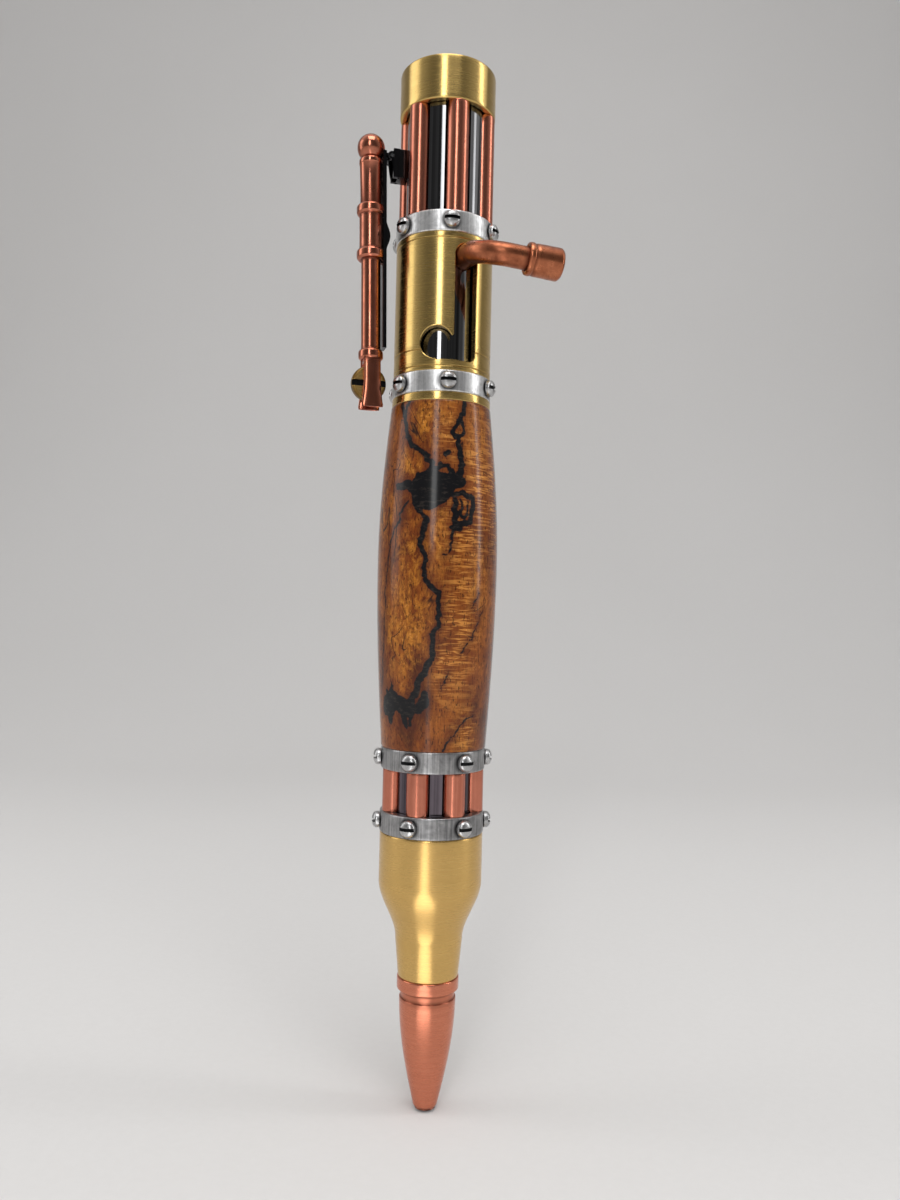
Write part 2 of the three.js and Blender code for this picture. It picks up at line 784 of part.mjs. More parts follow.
// Fork at the pipe's foot: a yoke and two prongs that flare to their feet
function makeFork() {
  const yokeTop = yokeSink - pipeLength;
  const yokeBase = yokeTop - yokeHeight;
  const foot = -rollerDrop - prongTail;
  const side = (sign) => [
    [pipeOffset + (sign * prongWidth) / 2, yokeTop],
    [pipeOffset + (sign * prongWidth) / 2, -rollerDrop],
    [pipeOffset + (sign * prongFootWidth) / 2, foot],
  ];
  const outline = [...side(-1), ...side(1).reverse()];
  const corners = outline.map(([across, height]) => new THREE.Vector2(across, height));
  const gapWidth = rollerThickness + 2 * rollerGap;
  const gap = block(gapWidth, prongFootWidth + 2 * overrun, yokeBase - foot + overrun);
  gap.translate(0, -pipeOffset, (yokeBase + foot - overrun) / 2);
  const hole = crossBar(axleRadius + fitClearance, forkWidth + overrun);
  hole.translate(0, -pipeOffset - rollerOffset, -rollerDrop);
  return solid(sideways(new THREE.Shape(corners), forkWidth))
    .subtract(solid(gap))
    .subtract(solid(hole));
}

// Brass roller with a slot across each face, turned about the line across the pen
function makeRoller() {
  const half = rollerThickness / 2;
  const bore = axleRadius + 2 * fitClearance;
  const wheel = turned([
    [bore, -half],
    [rollerRadius - edgeBreak, -half],
    [rollerRadius, edgeBreak - half],
    [rollerRadius, half - edgeBreak],
    [rollerRadius - edgeBreak, half],
    [bore, half],
  ], rodSteps * 2);
  const slot = block(rollerSlotDepth * 2, 2 * (rollerRadius + overrun), rollerSlotWidth);
  return solid(wheel.rotateY(Math.PI / 2))
    .subtract(solid(slot.clone().translate(half, 0, 0)))
    .subtract(solid(slot.translate(-half, 0, 0)));
}

// Everything that swings on the hinge pin, leaned so that its foot comes nearer the pen
function makeClip() {
  const clip = new THREE.Group();
  clip.position.set(0, -clipHingeRadius, clipHingeLevel);
  clip.rotation.x = radians(clipLean);
  clip.add(piece('clip_strip', makeStrip(), 'blackChrome'));
  clip.add(piece('clip_bar', makePipe(), 'copper'));
  const axle = piece('roller_axle', solid(crossBar(axleRadius, forkWidth)), 'steel');
  const roller = piece('clip_roller', makeRoller(), 'brass');
  [axle, roller].forEach((mesh) => {
    mesh.position.set(0, -pipeOffset - rollerOffset, -rollerDrop);
    clip.add(mesh);
  });
  return clip;
}

// The clip with its bracket and pin, round at its place between two rods
function makeClipSide() {
  const side = new THREE.Group();
  side.rotation.z = radians(clipAzimuth);
  side.add(piece('clip_bracket', makeBracket(), 'blackChrome'));
  const pin = piece('clip_pin', solid(crossBar(hingePinRadius, bracketWidth)), 'steel');
  pin.position.set(0, -clipHingeRadius, clipHingeLevel);
  side.add(pin);
  side.add(makeClip());
  return side;
}

// Writing end: tip, nib, two bands with the lower rods between them, and their core
function makeLowerEnd() {
  const end = new THREE.Group();
  const rods = makeRods('lower_rod', lowerRodCount, lowerRodAzimuth, lowerRodEnvelope, lowBandTop, midBandBase);
  const coreFoot = nibTop - lowerSpigotDepth + fitClearance;
  const core = makeCore(coreFoot, woodBase + lowerSpigotDepth, nibBoreRadius, rods.cutter);
  end.add(piece('bullet_tip', makeTip(), 'copper'));
  end.add(piece('nib_shell', makeNib(), 'brass'));
  end.add(makeBand('nib_band', boreRadius, lowerBandRadius, nibTop, lowerScrewAzimuth));
  end.add(makeBand('wood_band', boreRadius, lowerBandRadius, midBandBase, lowerScrewAzimuth));
  end.add(piece('lower_core', core, 'blackChrome'));
  end.add(rods.group);
  return end;
}

// Top end: two bands with the housing between them, the upper rods, their core and the cap
function makeUpperEnd() {
  const end = new THREE.Group();
  const rods = makeRods('upper_rod', upperRodCount, upperRodAzimuth, upperRodEnvelope, topBandTop, capBase);
  const pocket = solid(turnTo(tenonBlock(fitClearance), clipAzimuth));
  const core = makeCore(coreBase, capBase + spigotDepth, upperCoreBore, rods.cutter).subtract(pocket);
  const spigotHole = housingSpigotRadius + fitClearance;
  end.add(makeBand('housing_band', spigotHole, upperBandRadius, trimTop, upperScrewAzimuth));
  end.add(piece('housing', makeHousing(), 'brass'));
  end.add(makeBand('rod_band', boreRadius, upperBandRadius, housingTop, upperScrewAzimuth));
  end.add(piece('upper_core', core, 'blackChrome'));
  end.add(rods.group);
  end.add(piece('cap', makeCap(), 'brass'));
  return end;
}

// Bolt with its lever, knob, refill and the spring that pushes it back
function makeAction() {
  const action = new THREE.Group();
  const { path, armEnd, arm } = leverPath();
  const knob = piece('bolt_knob', makeKnob(), 'copper');
  knob.quaternion.setFromUnitVectors(new THREE.Vector3(0, 0, 1), arm);
  knob.position.copy(armEnd).addScaledVector(arm, fitClearance - knobBoreDepth);
  action.add(piece('bolt', makeBolt(), 'blackChrome'));
  action.add(piece('bolt_lever', makeLever(path), 'copper'));
  action.add(knob);
  action.add(piece('refill', makeRefill(), 'plastic'));
  action.add(piece('return_spring', makeSpring(), 'steel'));
  return action;
}

const group = new THREE.Group();
group.add(makeLowerEnd());
group.add(piece('wood_barrel', makeWood(), 'wood'));
group.add(piece('barrel_sleeve', makeSleeve(), 'brass'));
group.add(makeUpperEnd());
group.add(makeAction());
group.add(makeClipSide());

export default group;
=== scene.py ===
from math import pi, radians

import bmesh
import bpy
import numpy as np
from mathutils import Matrix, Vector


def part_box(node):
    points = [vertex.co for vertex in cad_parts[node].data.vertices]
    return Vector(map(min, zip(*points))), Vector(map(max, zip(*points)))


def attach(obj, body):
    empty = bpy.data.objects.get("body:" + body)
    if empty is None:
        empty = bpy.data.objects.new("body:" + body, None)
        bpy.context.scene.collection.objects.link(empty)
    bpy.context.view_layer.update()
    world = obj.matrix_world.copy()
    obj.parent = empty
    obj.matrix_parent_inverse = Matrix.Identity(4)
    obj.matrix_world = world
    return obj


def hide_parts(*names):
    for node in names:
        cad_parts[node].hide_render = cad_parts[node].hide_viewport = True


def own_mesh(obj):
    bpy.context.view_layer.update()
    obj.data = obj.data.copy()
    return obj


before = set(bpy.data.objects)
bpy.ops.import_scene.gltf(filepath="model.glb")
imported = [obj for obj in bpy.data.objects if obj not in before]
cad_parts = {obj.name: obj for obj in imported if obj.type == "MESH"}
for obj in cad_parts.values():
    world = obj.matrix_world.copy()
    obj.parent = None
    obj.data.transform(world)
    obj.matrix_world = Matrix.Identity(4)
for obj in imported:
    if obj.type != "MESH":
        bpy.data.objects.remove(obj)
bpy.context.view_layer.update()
mm = 0.001
rng = np.random.default_rng(7)
meshing = {"sharp": radians(38), "merge": 0.0004, "sliver": 0.0002}
wear = {"leastTurn": 0.6, "fade": 0.3, "proudShare": 0.6}


# Foot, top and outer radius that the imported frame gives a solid, in mm
def measure(node):
    low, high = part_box(node)
    return low.z / mm, high.z / mm, (high.x - low.x) / 2 / mm


# Shape tools: grids of points, closed into meshes
def unit(vectors):
    return vectors / np.linalg.norm(vectors, axis=-1, keepdims=True)


def placeObject(name, data):
    thing = bpy.data.objects.new(name, data)
    bpy.context.scene.collection.objects.link(thing)
    return thing


# Quads over a grid of rows and columns, wrapped round in either direction
def gridFaces(rows, columns, wrapRows, wrapColumns, first=0):
    r = np.arange(rows if wrapRows else rows - 1)
    c = np.arange(columns if wrapColumns else columns - 1)
    r, c = np.meshgrid(r, c, indexing="ij")
    up, along = (r + 1) % rows, (c + 1) % columns
    corners = [r * columns + c, r * columns + along, up * columns + along, up * columns + c]
    return np.stack(corners, axis=-1).reshape(-1, 4) + first


# One mesh from several grids: doubles are merged, so poles and seams close, and faces point out
def makePiece(name, grids, finishName, body, replaced, marks):
    points, faces, first = [], [], 0
    for grid, wrapRows, wrapColumns in grids:
        rows, columns = grid.shape[:2]
        points.append(grid.reshape(-1, 3))
        faces.append(gridFaces(rows, columns, wrapRows, wrapColumns, first))
        first += rows * columns
    points, faces = np.concatenate(points), np.concatenate(faces)
    mesh = bpy.data.meshes.new(name)
    mesh.vertices.add(len(points))
    mesh.vertices.foreach_set("co", (points * mm).ravel())
    mesh.loops.add(faces.size)
    mesh.loops.foreach_set("vertex_index", faces.ravel())
    mesh.polygons.add(len(faces))
    mesh.polygons.foreach_set("loop_start", np.arange(0, faces.size, 4))
    for mark, values in marks.items():
        attribute = mesh.attributes.new(mark, "FLOAT", "POINT")
        attribute.data.foreach_set("value", np.ravel(values))
    mesh.update(calc_edges=True)
    tidyMesh(mesh)
    piece = placeObject(name, mesh)
    finish, slot = finishes[finishName]
    mesh.materials.append(finish)
    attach(piece, body)
    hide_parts(*replaced)
    return piece


def tidyMesh(mesh):
    work = bmesh.new()
    work.from_mesh(mesh)
    bmesh.ops.remove_doubles(work, verts=work.verts, dist=meshing["merge"] * mm)
    bmesh.ops.dissolve_degenerate(work, edges=work.edges, dist=meshing["sliver"] * mm)
    bmesh.ops.recalc_face_normals(work, faces=work.faces)
    work.to_mesh(mesh)
    work.free()
    mesh.polygons.foreach_set("use_smooth", np.ones(len(mesh.polygons), bool))
    mesh.set_sharp_from_angle(angle=meshing["sharp"])


# Rounds the corners of a closed outline with small arcs and splits its long runs, so that
# marks near an edge stay near it. Corners on the axis stay as they are.
def soften(outline, rounding=0.12, step=0.4, arcSteps=3, bend=0.35):
    corners = np.array(outline, float)
    before, after = np.roll(corners, 1, 0) - corners, np.roll(corners, -1, 0) - corners
    lengthBefore = np.linalg.norm(before, axis=1, keepdims=True)
    lengthAfter = np.linalg.norm(after, axis=1, keepdims=True)
    before, after = before / lengthBefore, after / lengthAfter
    turn = np.arccos(np.clip(-(before * after).sum(1), -1, 1))
    cut = np.minimum(rounding, 0.4 * np.minimum(lengthBefore, lengthAfter))
    share = np.linspace(0, 1, arcSteps + 1)[:, None]
    softened = []
    for at, corner in enumerate(corners):
        if turn[at] < bend or corner[0] == 0:
            softened.append(corner[None])
            continue
        start, end = corner + before[at] * cut[at], corner + after[at] * cut[at]
        softened.append(bendOf(share, start, corner, end))
    softened = np.concatenate(softened)
    following = np.roll(softened, -1, 0)
    lengths = np.linalg.norm(following - softened, axis=1)
    parts = np.maximum(1, np.ceil(lengths / step)).astype(int)
    runs = [a + (b - a) * np.arange(n)[:, None] / n for a, b, n in zip(softened, following, parts)]
    return np.concatenate(runs), corners, turn, before, after


# Quadratic bend from start to end, drawn towards its corner
def bendOf(share, start, corner, end):
    return (1 - share) ** 2 * start + 2 * share * (1 - share) * corner + share ** 2 * end


# Twice the area of a closed outline, negative where it runs clockwise
def doubleArea(outline):
    x, y = outline[:, 0], outline[:, 1]
    return np.sum(x * np.roll(y, -1) - np.roll(x, -1) * y)


# Marks of wear along an outline: 1 in a hollow corner or on a proud one, fading over a short way
def cornerMarks(points, corners, turn, before, after):
    side = before[:, 0] * after[:, 1] - before[:, 1] * after[:, 0]
    bend = side * doubleArea(corners)
    clear = (turn > wear["leastTurn"]) & (corners[:, 0] > 0)

    def near(chosen, width):
        if not chosen.any():
            return np.zeros(len(points))
        gap = np.linalg.norm(points[:, None] - corners[chosen][None], axis=2).min(1)
        return np.exp(-(gap / width) ** 2)

    fade = wear["fade"]
    return near(clear & (bend > 0), fade), near(clear & (bend < 0), fade * wear["proudShare"])


# Turned surface: each outline point (radius, height) is carried round the axis
def turnedGrid(outline, segments=128, **softening):
    points, *shape = soften(outline, **softening)
    patinaAndShade, proud = cornerMarks(points, *shape)
    angle = np.linspace(0, 2 * pi, segments, endpoint=False)
    grid = np.stack([
        points[:, :1] * np.sin(angle),
        -points[:, :1] * np.cos(angle),
        np.repeat(points[:, 1:], segments, axis=1),
    ], axis=-1)
    marks = {"patinaAndShade": np.repeat(patinaAndShade, segments), "proud": np.repeat(proud, segments)}
    return (grid, True, True), marks


def turnedPiece(name, outline, finishName, body, replaced, segments=128, **softening):
    grid, marks = turnedGrid(outline, segments, **softening)
    return makePiece(name, [grid], finishName, body, replaced, marks)


def moved(points, matrix):
    turn, shift = np.array(matrix)[:3, :3], np.array(matrix)[:3, 3]
    return points @ turn.T + shift


# Copies of grids, each moved by its own matrix, as grids of one piece
def placed(grids, marks, matrices):
    copies = [(moved(points, matrix), *wraps) for matrix in matrices for points, *wraps in grids]
    return copies, {mark: np.tile(values, len(matrices)) for mark, values in marks.items()}


def joined(*parts):
    grids = sum((part[0] for part in parts), [])
    marks = {mark: np.concatenate([part[1][mark] for part in parts])
             for mark in ("patinaAndShade", "proud")}
    return grids, marks


def unworn(count):
    return {"patinaAndShade": np.zeros(count), "proud": np.zeros(count)}


def roundAt(azimuth):
    return Matrix.Rotation(radians(azimuth), 4, "Z")


def quarterTurn(axis):
    return Matrix.Rotation(pi / 2, 4, axis)


# Azimuths of a ring of equal pieces
def spaced(size):
    return [size["first"] + 360 * at / size["count"] for at in range(size["count"])]


# Rod or wire along a path that doesn't start upright: a circle is carried on frames that
# turn as little as they can
def carriedGrid(path, radius, sides):
    ahead = unit(np.gradient(path, axis=0))
    across = np.cross(ahead[0], [0.0, 0.0, 1.0])
    frames = []
    for direction in ahead:
        across = unit(across - direction * across.dot(direction))
        frames.append(across)
    across = np.array(frames)
    beside = np.cross(ahead, across)
    angle = np.linspace(0, 2 * pi, sides, endpoint=False)[:, None]
    ring = across[:, None] * np.cos(angle) + beside[:, None] * np.sin(angle)
    ends = [np.repeat(path[at][None, None], sides, axis=1) for at in (0, -1)]
    grid = np.concatenate([ends[0], path[:, None] + ring * radius, ends[1]])
    return [(grid, False, True)], unworn(grid.shape[0] * sides)


# Plate: a closed outline in two axes, given a thickness across the third. Its edges are
# quarter circles: at an angle t the outline is drawn in by ease (1 - cos t).
def plateGrid(outline, thickness, ease, steps=4):
    outline = np.asarray(outline, float)
    runs = np.roll(outline, -1, 0) - outline
    normals = unit(np.column_stack([runs[:, 1], -runs[:, 0]]))
    corner = normals + np.roll(normals, 1, 0)
    corner /= np.maximum(0.5, (corner ** 2).sum(1, keepdims=True) / 2)
    inward = -corner * np.sign(doubleArea(outline))
    angle = np.linspace(pi / 2, 0, steps + 1)
    insets = ease * (1 - np.cos(angle))
    depths = thickness / 2 - ease + ease * np.sin(angle)
    insets = np.concatenate([insets, insets[::-1]])
    depths = np.concatenate([-depths, depths[::-1]])
    centre = np.repeat(outline.mean(0)[None], len(outline), 0)
    rows = [centre, *[outline + inward * inset for inset in insets], centre]
    depths = [depths[0], *depths, depths[-1]]
    grid = np.stack([np.column_stack([np.full(len(row), depth), row])
                     for row, depth in zip(rows, depths)])
    marks = unworn(grid.shape[0] * grid.shape[1])
    edge = np.concatenate([[0], insets > 0, [0]])
    marks["proud"] = np.repeat(edge, len(outline)).astype(float) * 0.7
    return [(grid, False, True)], marks


# Closed prism: an outline in two axes, carried from low to high along the third. The order
# says which of (depth, across, up) goes to X, Y and Z.
def prism(outline, low, high, order=(0, 1, 2)):
    outline = np.asarray(outline, float)
    centre = np.repeat(outline.mean(0)[None], len(outline), 0)
    rows = [(centre, low), (outline, low), (outline, high), (centre, high)]
    grid = [np.column_stack([np.full(len(row), depth), row]) for row, depth in rows]
    return np.stack(grid)[..., list(order)]


# Outline in (across, height) pushed out through the wall at the front
def frontPrism(outline, inner, outer):
    return prism(outline, -inner, -outer, (1, 0, 2))


def arc(centre, radius, start, end, steps):
    angle = np.linspace(radians(start), radians(end), steps)
    return np.column_stack([centre[0] + radius * np.cos(angle),
                            centre[1] + radius * np.sin(angle)])


# Cuts one closed piece with others and keeps the result as a plain mesh. The cut faces take
# the inside finish, where one is given.
def carve(piece, cutters, inside=None):
    if inside:
        inside = finishes[inside][0]
        piece.data.materials.append(inside)
    for cutter in cutters:
        if inside:
            cutter.data.materials.append(piece.data.materials[0])
            cutter.data.materials.append(inside)
            second = np.ones(len(cutter.data.polygons), int)
            cutter.data.polygons.foreach_set("material_index", second)
        change = piece.modifiers.new("cut", "BOOLEAN")
        change.operation, change.solver, change.object = "DIFFERENCE", "EXACT", cutter
    bpy.context.view_layer.update()
    graph = bpy.context.evaluated_depsgraph_get()
    mesh = bpy.data.meshes.new_from_object(piece.evaluated_get(graph), depsgraph=graph)
    piece.modifiers.clear()
    old = piece.data
    piece.data = mesh
    bpy.data.meshes.remove(old)
    tidyMesh(mesh)
    for cutter in cutters:
        bpy.data.objects.remove(cutter)


# Loose closed mesh that only cuts
def makeCutter(name, grid):
    faces = gridFaces(*grid.shape[:2], False, True)
    mesh = bpy.data.meshes.new(name)
    mesh.from_pydata((grid.reshape(-1, 3) * mm).tolist(), [], faces.tolist())
    tidyMesh(mesh)
    return placeObject(name, mesh)


# Material tools
def newMaterial(name):
    finish = bpy.data.materials.new(name)
    finish.use_nodes = True
    return finish, finish.node_tree, finish.node_tree.nodes["Principled BSDF"]


# Fills a node's sockets, each with a link or a plain value
def feed(tree, node, inputs):
    for key, value in inputs.items():
        if isinstance(value, bpy.types.NodeSocket):
            tree.links.new(value, node.inputs[key])
        else:
            node.inputs[key].default_value = value
    return node


def addNode(tree, kind, inputs, **settings):
    node = tree.nodes.new(kind)
    for key, value in settings.items():
        setattr(node, key, value)
    return feed(tree, node, inputs)


def spread(tree, value, low, high, toLow=0.0, toHigh=1.0):
    return addNode(tree, "ShaderNodeMapRange", {
        "Value": value, "From Min": low, "From Max": high, "To Min": toLow, "To Max": toHigh,
    }, clamp=True).outputs["Result"]


def mathOf(tree, operation, first, second=0.0):
    return addNode(tree, "ShaderNodeMath", {0: first, 1: second}, operation=operation).outputs[0]


def product(tree, first, second):
    return mathOf(tree, "MULTIPLY", first, second)


def mixed(tree, share, first, second):
    first, second = [colour if isinstance(colour, bpy.types.NodeSocket) else (*colour, 1)
                     for colour in (first, second)]
    return addNode(tree, "ShaderNodeMix", {0: share, 6: first, 7: second},
                   data_type="RGBA", clamp_factor=True).outputs[2]


def objectPlace(tree, scale):
    place = addNode(tree, "ShaderNodeTexCoord", {}).outputs["Object"]
    return addNode(tree, "ShaderNodeMapping", {"Vector": place, "Scale": scale}).outputs["Vector"]


def noiseAt(tree, place, scale, detail, roughness=0.5, distortion=0.0):
    return addNode(tree, "ShaderNodeTexNoise", {
        "Vector": place, "Scale": scale, "Detail": detail, "Roughness": roughness,
        "Distortion": distortion}).outputs["Fac"]


def attributeOf(tree, name):
    return addNode(tree, "ShaderNodeAttribute", {}, attribute_name=name).outputs["Fac"]


def bumpOf(tree, height, strength, distance):
    return addNode(tree, "ShaderNodeBump", {
        "Height": height, "Strength": strength, "Distance": distance * mm}).outputs["Normal"]


# Empty shader node group with its named sockets
def newGroup(name, inputs, outputs):
    group = bpy.data.node_groups.new(name, "ShaderNodeTree")
    for way, sockets in (("INPUT", inputs), ("OUTPUT", outputs)):
        for socket, kind in sockets.items():
            group.interface.new_socket(socket, in_out=way, socket_type="NodeSocket" + kind)
    return group, group.nodes.new("NodeGroupInput").outputs, group.nodes.new("NodeGroupOutput")


# Shared effect: fine tool marks, long one way and short the other, and broad streaks of tone; on
# the mirror chrome these streaks are painted reflection stripes
def makeToolMarksAndStreaks():
    group, inlet, outlet = newGroup("toolMarksAndStreaks", {"Vector": "Vector", "Stretch": "Vector"},
                                    {"Height": "Float", "Streaks": "Float"})
    place = addNode(group, "ShaderNodeVectorMath", {0: inlet["Vector"], 1: inlet["Stretch"]},
                    operation="MULTIPLY").outputs[0]
    fine = noiseAt(group, place, 1.0, 5.0, 0.7)
    broad = noiseAt(group, place, 0.23, 2.0, 0.5)
    height = mathOf(group, "ADD", product(group, fine, 0.6), product(group, broad, 0.4))
    feed(group, outlet, {"Height": height, "Streaks": spread(group, broad, 0.35, 0.65)})
    return group


# Shared effect: tarnish that gathers in hollows and patches, together with the painted shade that
# some pieces lay in the same mark, and is rubbed away on proud edges
def makeTarnishAndShade():
    inputs = {"Vector": "Vector", "Hollow": "Float", "Proud": "Float", "Amount": "Float"}
    group, inlet, outlet = newGroup("tarnishAndShade", inputs, {"Mask": "Float"})
    clouds = noiseAt(group, inlet["Vector"], 420.0, 6.0, 0.62, 0.4)
    patches = spread(group, clouds, 0.42, 0.72)
    speckle = spread(group, noiseAt(group, inlet["Vector"], 2600.0, 3.0, 0.6), 0.5, 0.75)
    spotted = mathOf(group, "ADD", patches, product(group, speckle, 0.35))
    ragged = product(group, inlet["Hollow"], spread(group, patches, 0.0, 1.0, 0.75, 1.0))
    whole = mathOf(group, "MAXIMUM", product(group, spotted, inlet["Amount"]), ragged)
    kept = mathOf(group, "SUBTRACT", 1.0, product(group, inlet["Proud"], 0.8))
    mask = addNode(group, "ShaderNodeMath", {0: whole, 1: kept},
                   operation="MULTIPLY", use_clamp=True).outputs[0]
    feed(group, outlet, {"Mask": mask})
    return group


toolMarksAndStreaks, tarnishAndShade = makeToolMarksAndStreaks(), makeTarnishAndShade()


# Metal with tool marks, tarnish and painted shade. Marks run round the pen where the stretch is
# small in
# X and Y, and along it where the stretch is small in Z. A turned piece also spreads its
# gloss along the pen, across its marks.
def makeMetal(name, look):
    finish, tree, shader = newMaterial(name)
    place = addNode(tree, "ShaderNodeTexCoord", {}).outputs["Object"]
    marks = addNode(tree, "ShaderNodeGroup", {"Vector": place, "Stretch": look["stretch"]},
                    node_tree=toolMarksAndStreaks).outputs
    stainAndShade = addNode(tree, "ShaderNodeGroup", {
        "Vector": place, "Amount": look["amount"], "Hollow": attributeOf(tree, "patinaAndShade"),
        "Proud": attributeOf(tree, "proud")}, node_tree=tarnishAndShade).outputs["Mask"]
    streaks = product(tree, marks["Streaks"], look["streak"])
    streaked = mixed(tree, streaks, look["colour"], look["second"])
    ground = spread(tree, marks["Height"], 0.3, 0.7, *look["roughness"])
    feed(tree, shader, {
        "Base Color": mixed(tree, stainAndShade, streaked, look["stainAndShade"]),
        "Metallic": 1,
        "Roughness": mathOf(tree, "ADD", ground, product(tree, stainAndShade, look["dulling"])),
        "Normal": bumpOf(tree, marks["Height"], look["bump"], 0.01),
    })
    if "satin" in look:
        around = addNode(tree, "ShaderNodeTangent", {}, direction_type="RADIAL", axis="Z")
        feed(tree, shader, {"Anisotropic": look["satin"], "Anisotropic Rotation": 0.25,
                            "Tangent": around.outputs["Tangent"]})
    return finish


turnedStretch = (500.0, 500.0, 26000.0)
lengthStretch = (16000.0, 16000.0, 500.0)

# Metals: two tones that streaks mix, the colour of the stain and painted shade in the hollows, and
# the depth of the marks
brassLook = {
    "slot": "brass", "colour": (0.62, 0.43, 0.150), "second": (0.52, 0.34, 0.105),
    "stainAndShade": (0.12, 0.065, 0.016), "stretch": turnedStretch, "streak": 0.2, "amount": 0.10,
    "roughness": (0.21, 0.29), "dulling": 0.2, "bump": 0.012, "satin": 0.84}
copperLook = {
    "slot": "copper", "colour": (0.58, 0.208, 0.135), "second": (0.42, 0.132, 0.082),
    "stainAndShade": (0.07, 0.016, 0.010), "stretch": lengthStretch, "streak": 0.5, "amount": 0.12,
    "roughness": (0.19, 0.26), "dulling": 0.25, "bump": 0.03}
agedCopperLook = {
    **copperLook, "colour": (0.50, 0.175, 0.085), "second": (0.32, 0.095, 0.045),
    "stainAndShade": (0.085, 0.020, 0.012), "stretch": (2600.0, 2600.0, 1500.0), "amount": 0.55,
    "roughness": (0.20, 0.32), "bump": 0.16}
pewterLook = {
    "slot": "pewter", "colour": (0.44, 0.435, 0.435), "second": (0.22, 0.22, 0.225),
    "stainAndShade": (0.010, 0.010, 0.011), "stretch": lengthStretch, "streak": 0.8, "amount": 0.50,
    "roughness": (0.24, 0.42), "dulling": 0.22, "bump": 0.22}
blackLook = {
    "slot": "black_chrome", "colour": (0.050, 0.050, 0.054), "second": (0.030, 0.028, 0.031),
    "stainAndShade": (0.010, 0.009, 0.009), "stretch": lengthStretch, "streak": 0.6, "amount": 0.30,
    "roughness": (0.07, 0.15), "dulling": 0.18, "bump": 0.04}
# Mirror chrome: its light and dark tones, streaked along the pen, are painted reflection stripes
mirrorLook = {
    **blackLook, "colour": (0.30, 0.30, 0.31), "second": (0.05, 0.05, 0.052), "amount": 0.10,
    "streak": 1.0, "roughness": (0.04, 0.08), "bump": 0.01, "stretch": (5200.0, 5200.0, 20.0)}
metals = {
    "brushedBrass": brassLook,
    "paleBrass": {**brassLook, "colour": (0.66, 0.425, 0.148), "second": (0.60, 0.37, 0.12),
                  "amount": 0.05, "roughness": (0.24, 0.32), "streak": 0.14, "bump": 0.008,
                  "satin": 0.68},
    "copperPlate": copperLook,
    "agedCopper": agedCopperLook,
    "pipeCopper": {**agedCopperLook, "colour": (0.58, 0.21, 0.135), "roughness": (0.12, 0.20),
                   "amount": 0.40, "bump": 0.04},
    "turnedCopper": {**copperLook, "colour": (0.66, 0.235, 0.14), "second": (0.58, 0.19, 0.11),
                     "stretch": turnedStretch, "roughness": (0.22, 0.30), "amount": 0.08,
                     "bump": 0.02, "satin": 0.72},
    "antiquePewter": pewterLook,
    # A paler copy of the pewter for the upper bands: painted light, against the darker lower bands
    "paintedLightPewter": {**pewterLook, "colour": (0.86, 0.86, 0.86), "second": (0.50, 0.50, 0.505)},
    "screwPewter": {**pewterLook, "colour": (0.56, 0.56, 0.56), "second": (0.34, 0.34, 0.345),
                    "streak": 0.4, "amount": 0.32, "roughness": (0.23, 0.34), "bump": 0.08},
    # Near-black pewter for the walls of cut slots: painted shade in the slots
    "paintedSlotShade": {**pewterLook, "colour": (0.03, 0.03, 0.032),
                   "second": (0.012, 0.012, 0.012)},
    "blackChrome": blackLook,
    "mirrorChrome": mirrorLook,
    # A darker copy of the mirror chrome for the lower core: painted shade
    "paintedShadeMirror": {**mirrorLook, "colour": (0.15, 0.125, 0.145), "second": (0.035, 0.03, 0.035)},
    "plainSteel": {"slot": "steel", "colour": (0.56, 0.57, 0.59), "second": (0.42, 0.43, 0.45),
                   "stainAndShade": (0.08, 0.07, 0.06), "stretch": turnedStretch, "streak": 0.5,
                   "amount": 0.12, "roughness": (0.16, 0.28), "dulling": 0.2, "bump": 0.08},
}


def makeRefillPlastic():
    finish, tree, shader = newMaterial("refillPlastic")
    cloud = noiseAt(tree, objectPlace(tree, (1, 1, 0.3)), 900.0, 3.0)
    feed(tree, shader, {
        "Base Color": mixed(tree, cloud, (0.03, 0.035, 0.045), (0.06, 0.065, 0.075)),
        "Roughness": spread(tree, cloud, 0.3, 0.7, 0.3, 0.45),
    })
    return finish


woodLook = {"shade": (0.050, 0.011, 0.004), "body": (0.185, 0.046, 0.008),
            "light": (0.30, 0.090, 0.014), "gold": (0.46, 0.172, 0.022),
            "curl": (0.66, 0.28, 0.058), "fibre": (0.085, 0.020, 0.007),
            "pore": (0.030, 0.010, 0.004), "halo": (0.075, 0.016, 0.006),
            "hair": (0.020, 0.008, 0.005), "line": (0.005, 0.005, 0.006),
            "char": (0.026, 0.021, 0.018), "ragged": 0.55}
# Figure: repeats per metre round and along the barrel, detail, roughness and distortion
woodFigure = {
    "clouds": (170, 90, 6.0, 0.62, 0.9), "flakes": (900, 620, 5.0, 0.72, 0.7),
    "sparks": (1900, 2300, 3.0, 0.6, 0.8), "fibres": (3400, 420, 5.0, 0.7, 0.3),
    "flecks": (2300, 1700, 3.0, 0.6, 0.5), "bars": (240, 1500, 3.0, 0.6, 0.7),
    "fineBars": (420, 4600, 2.0, 0.5, 0.3), "pores": (5200, 1500, 2.0, 0.5, 0.0),
    "wander": (1700, 1300, 5.0, 0.75, 0.0), "slow": (95, 55, 3.0, 0.5, 1.2),
    "gaps": (260, 120, 2.0, 0.5, 0.0), "embers": (900, 2600, 4.0, 0.7, 0.0),
}


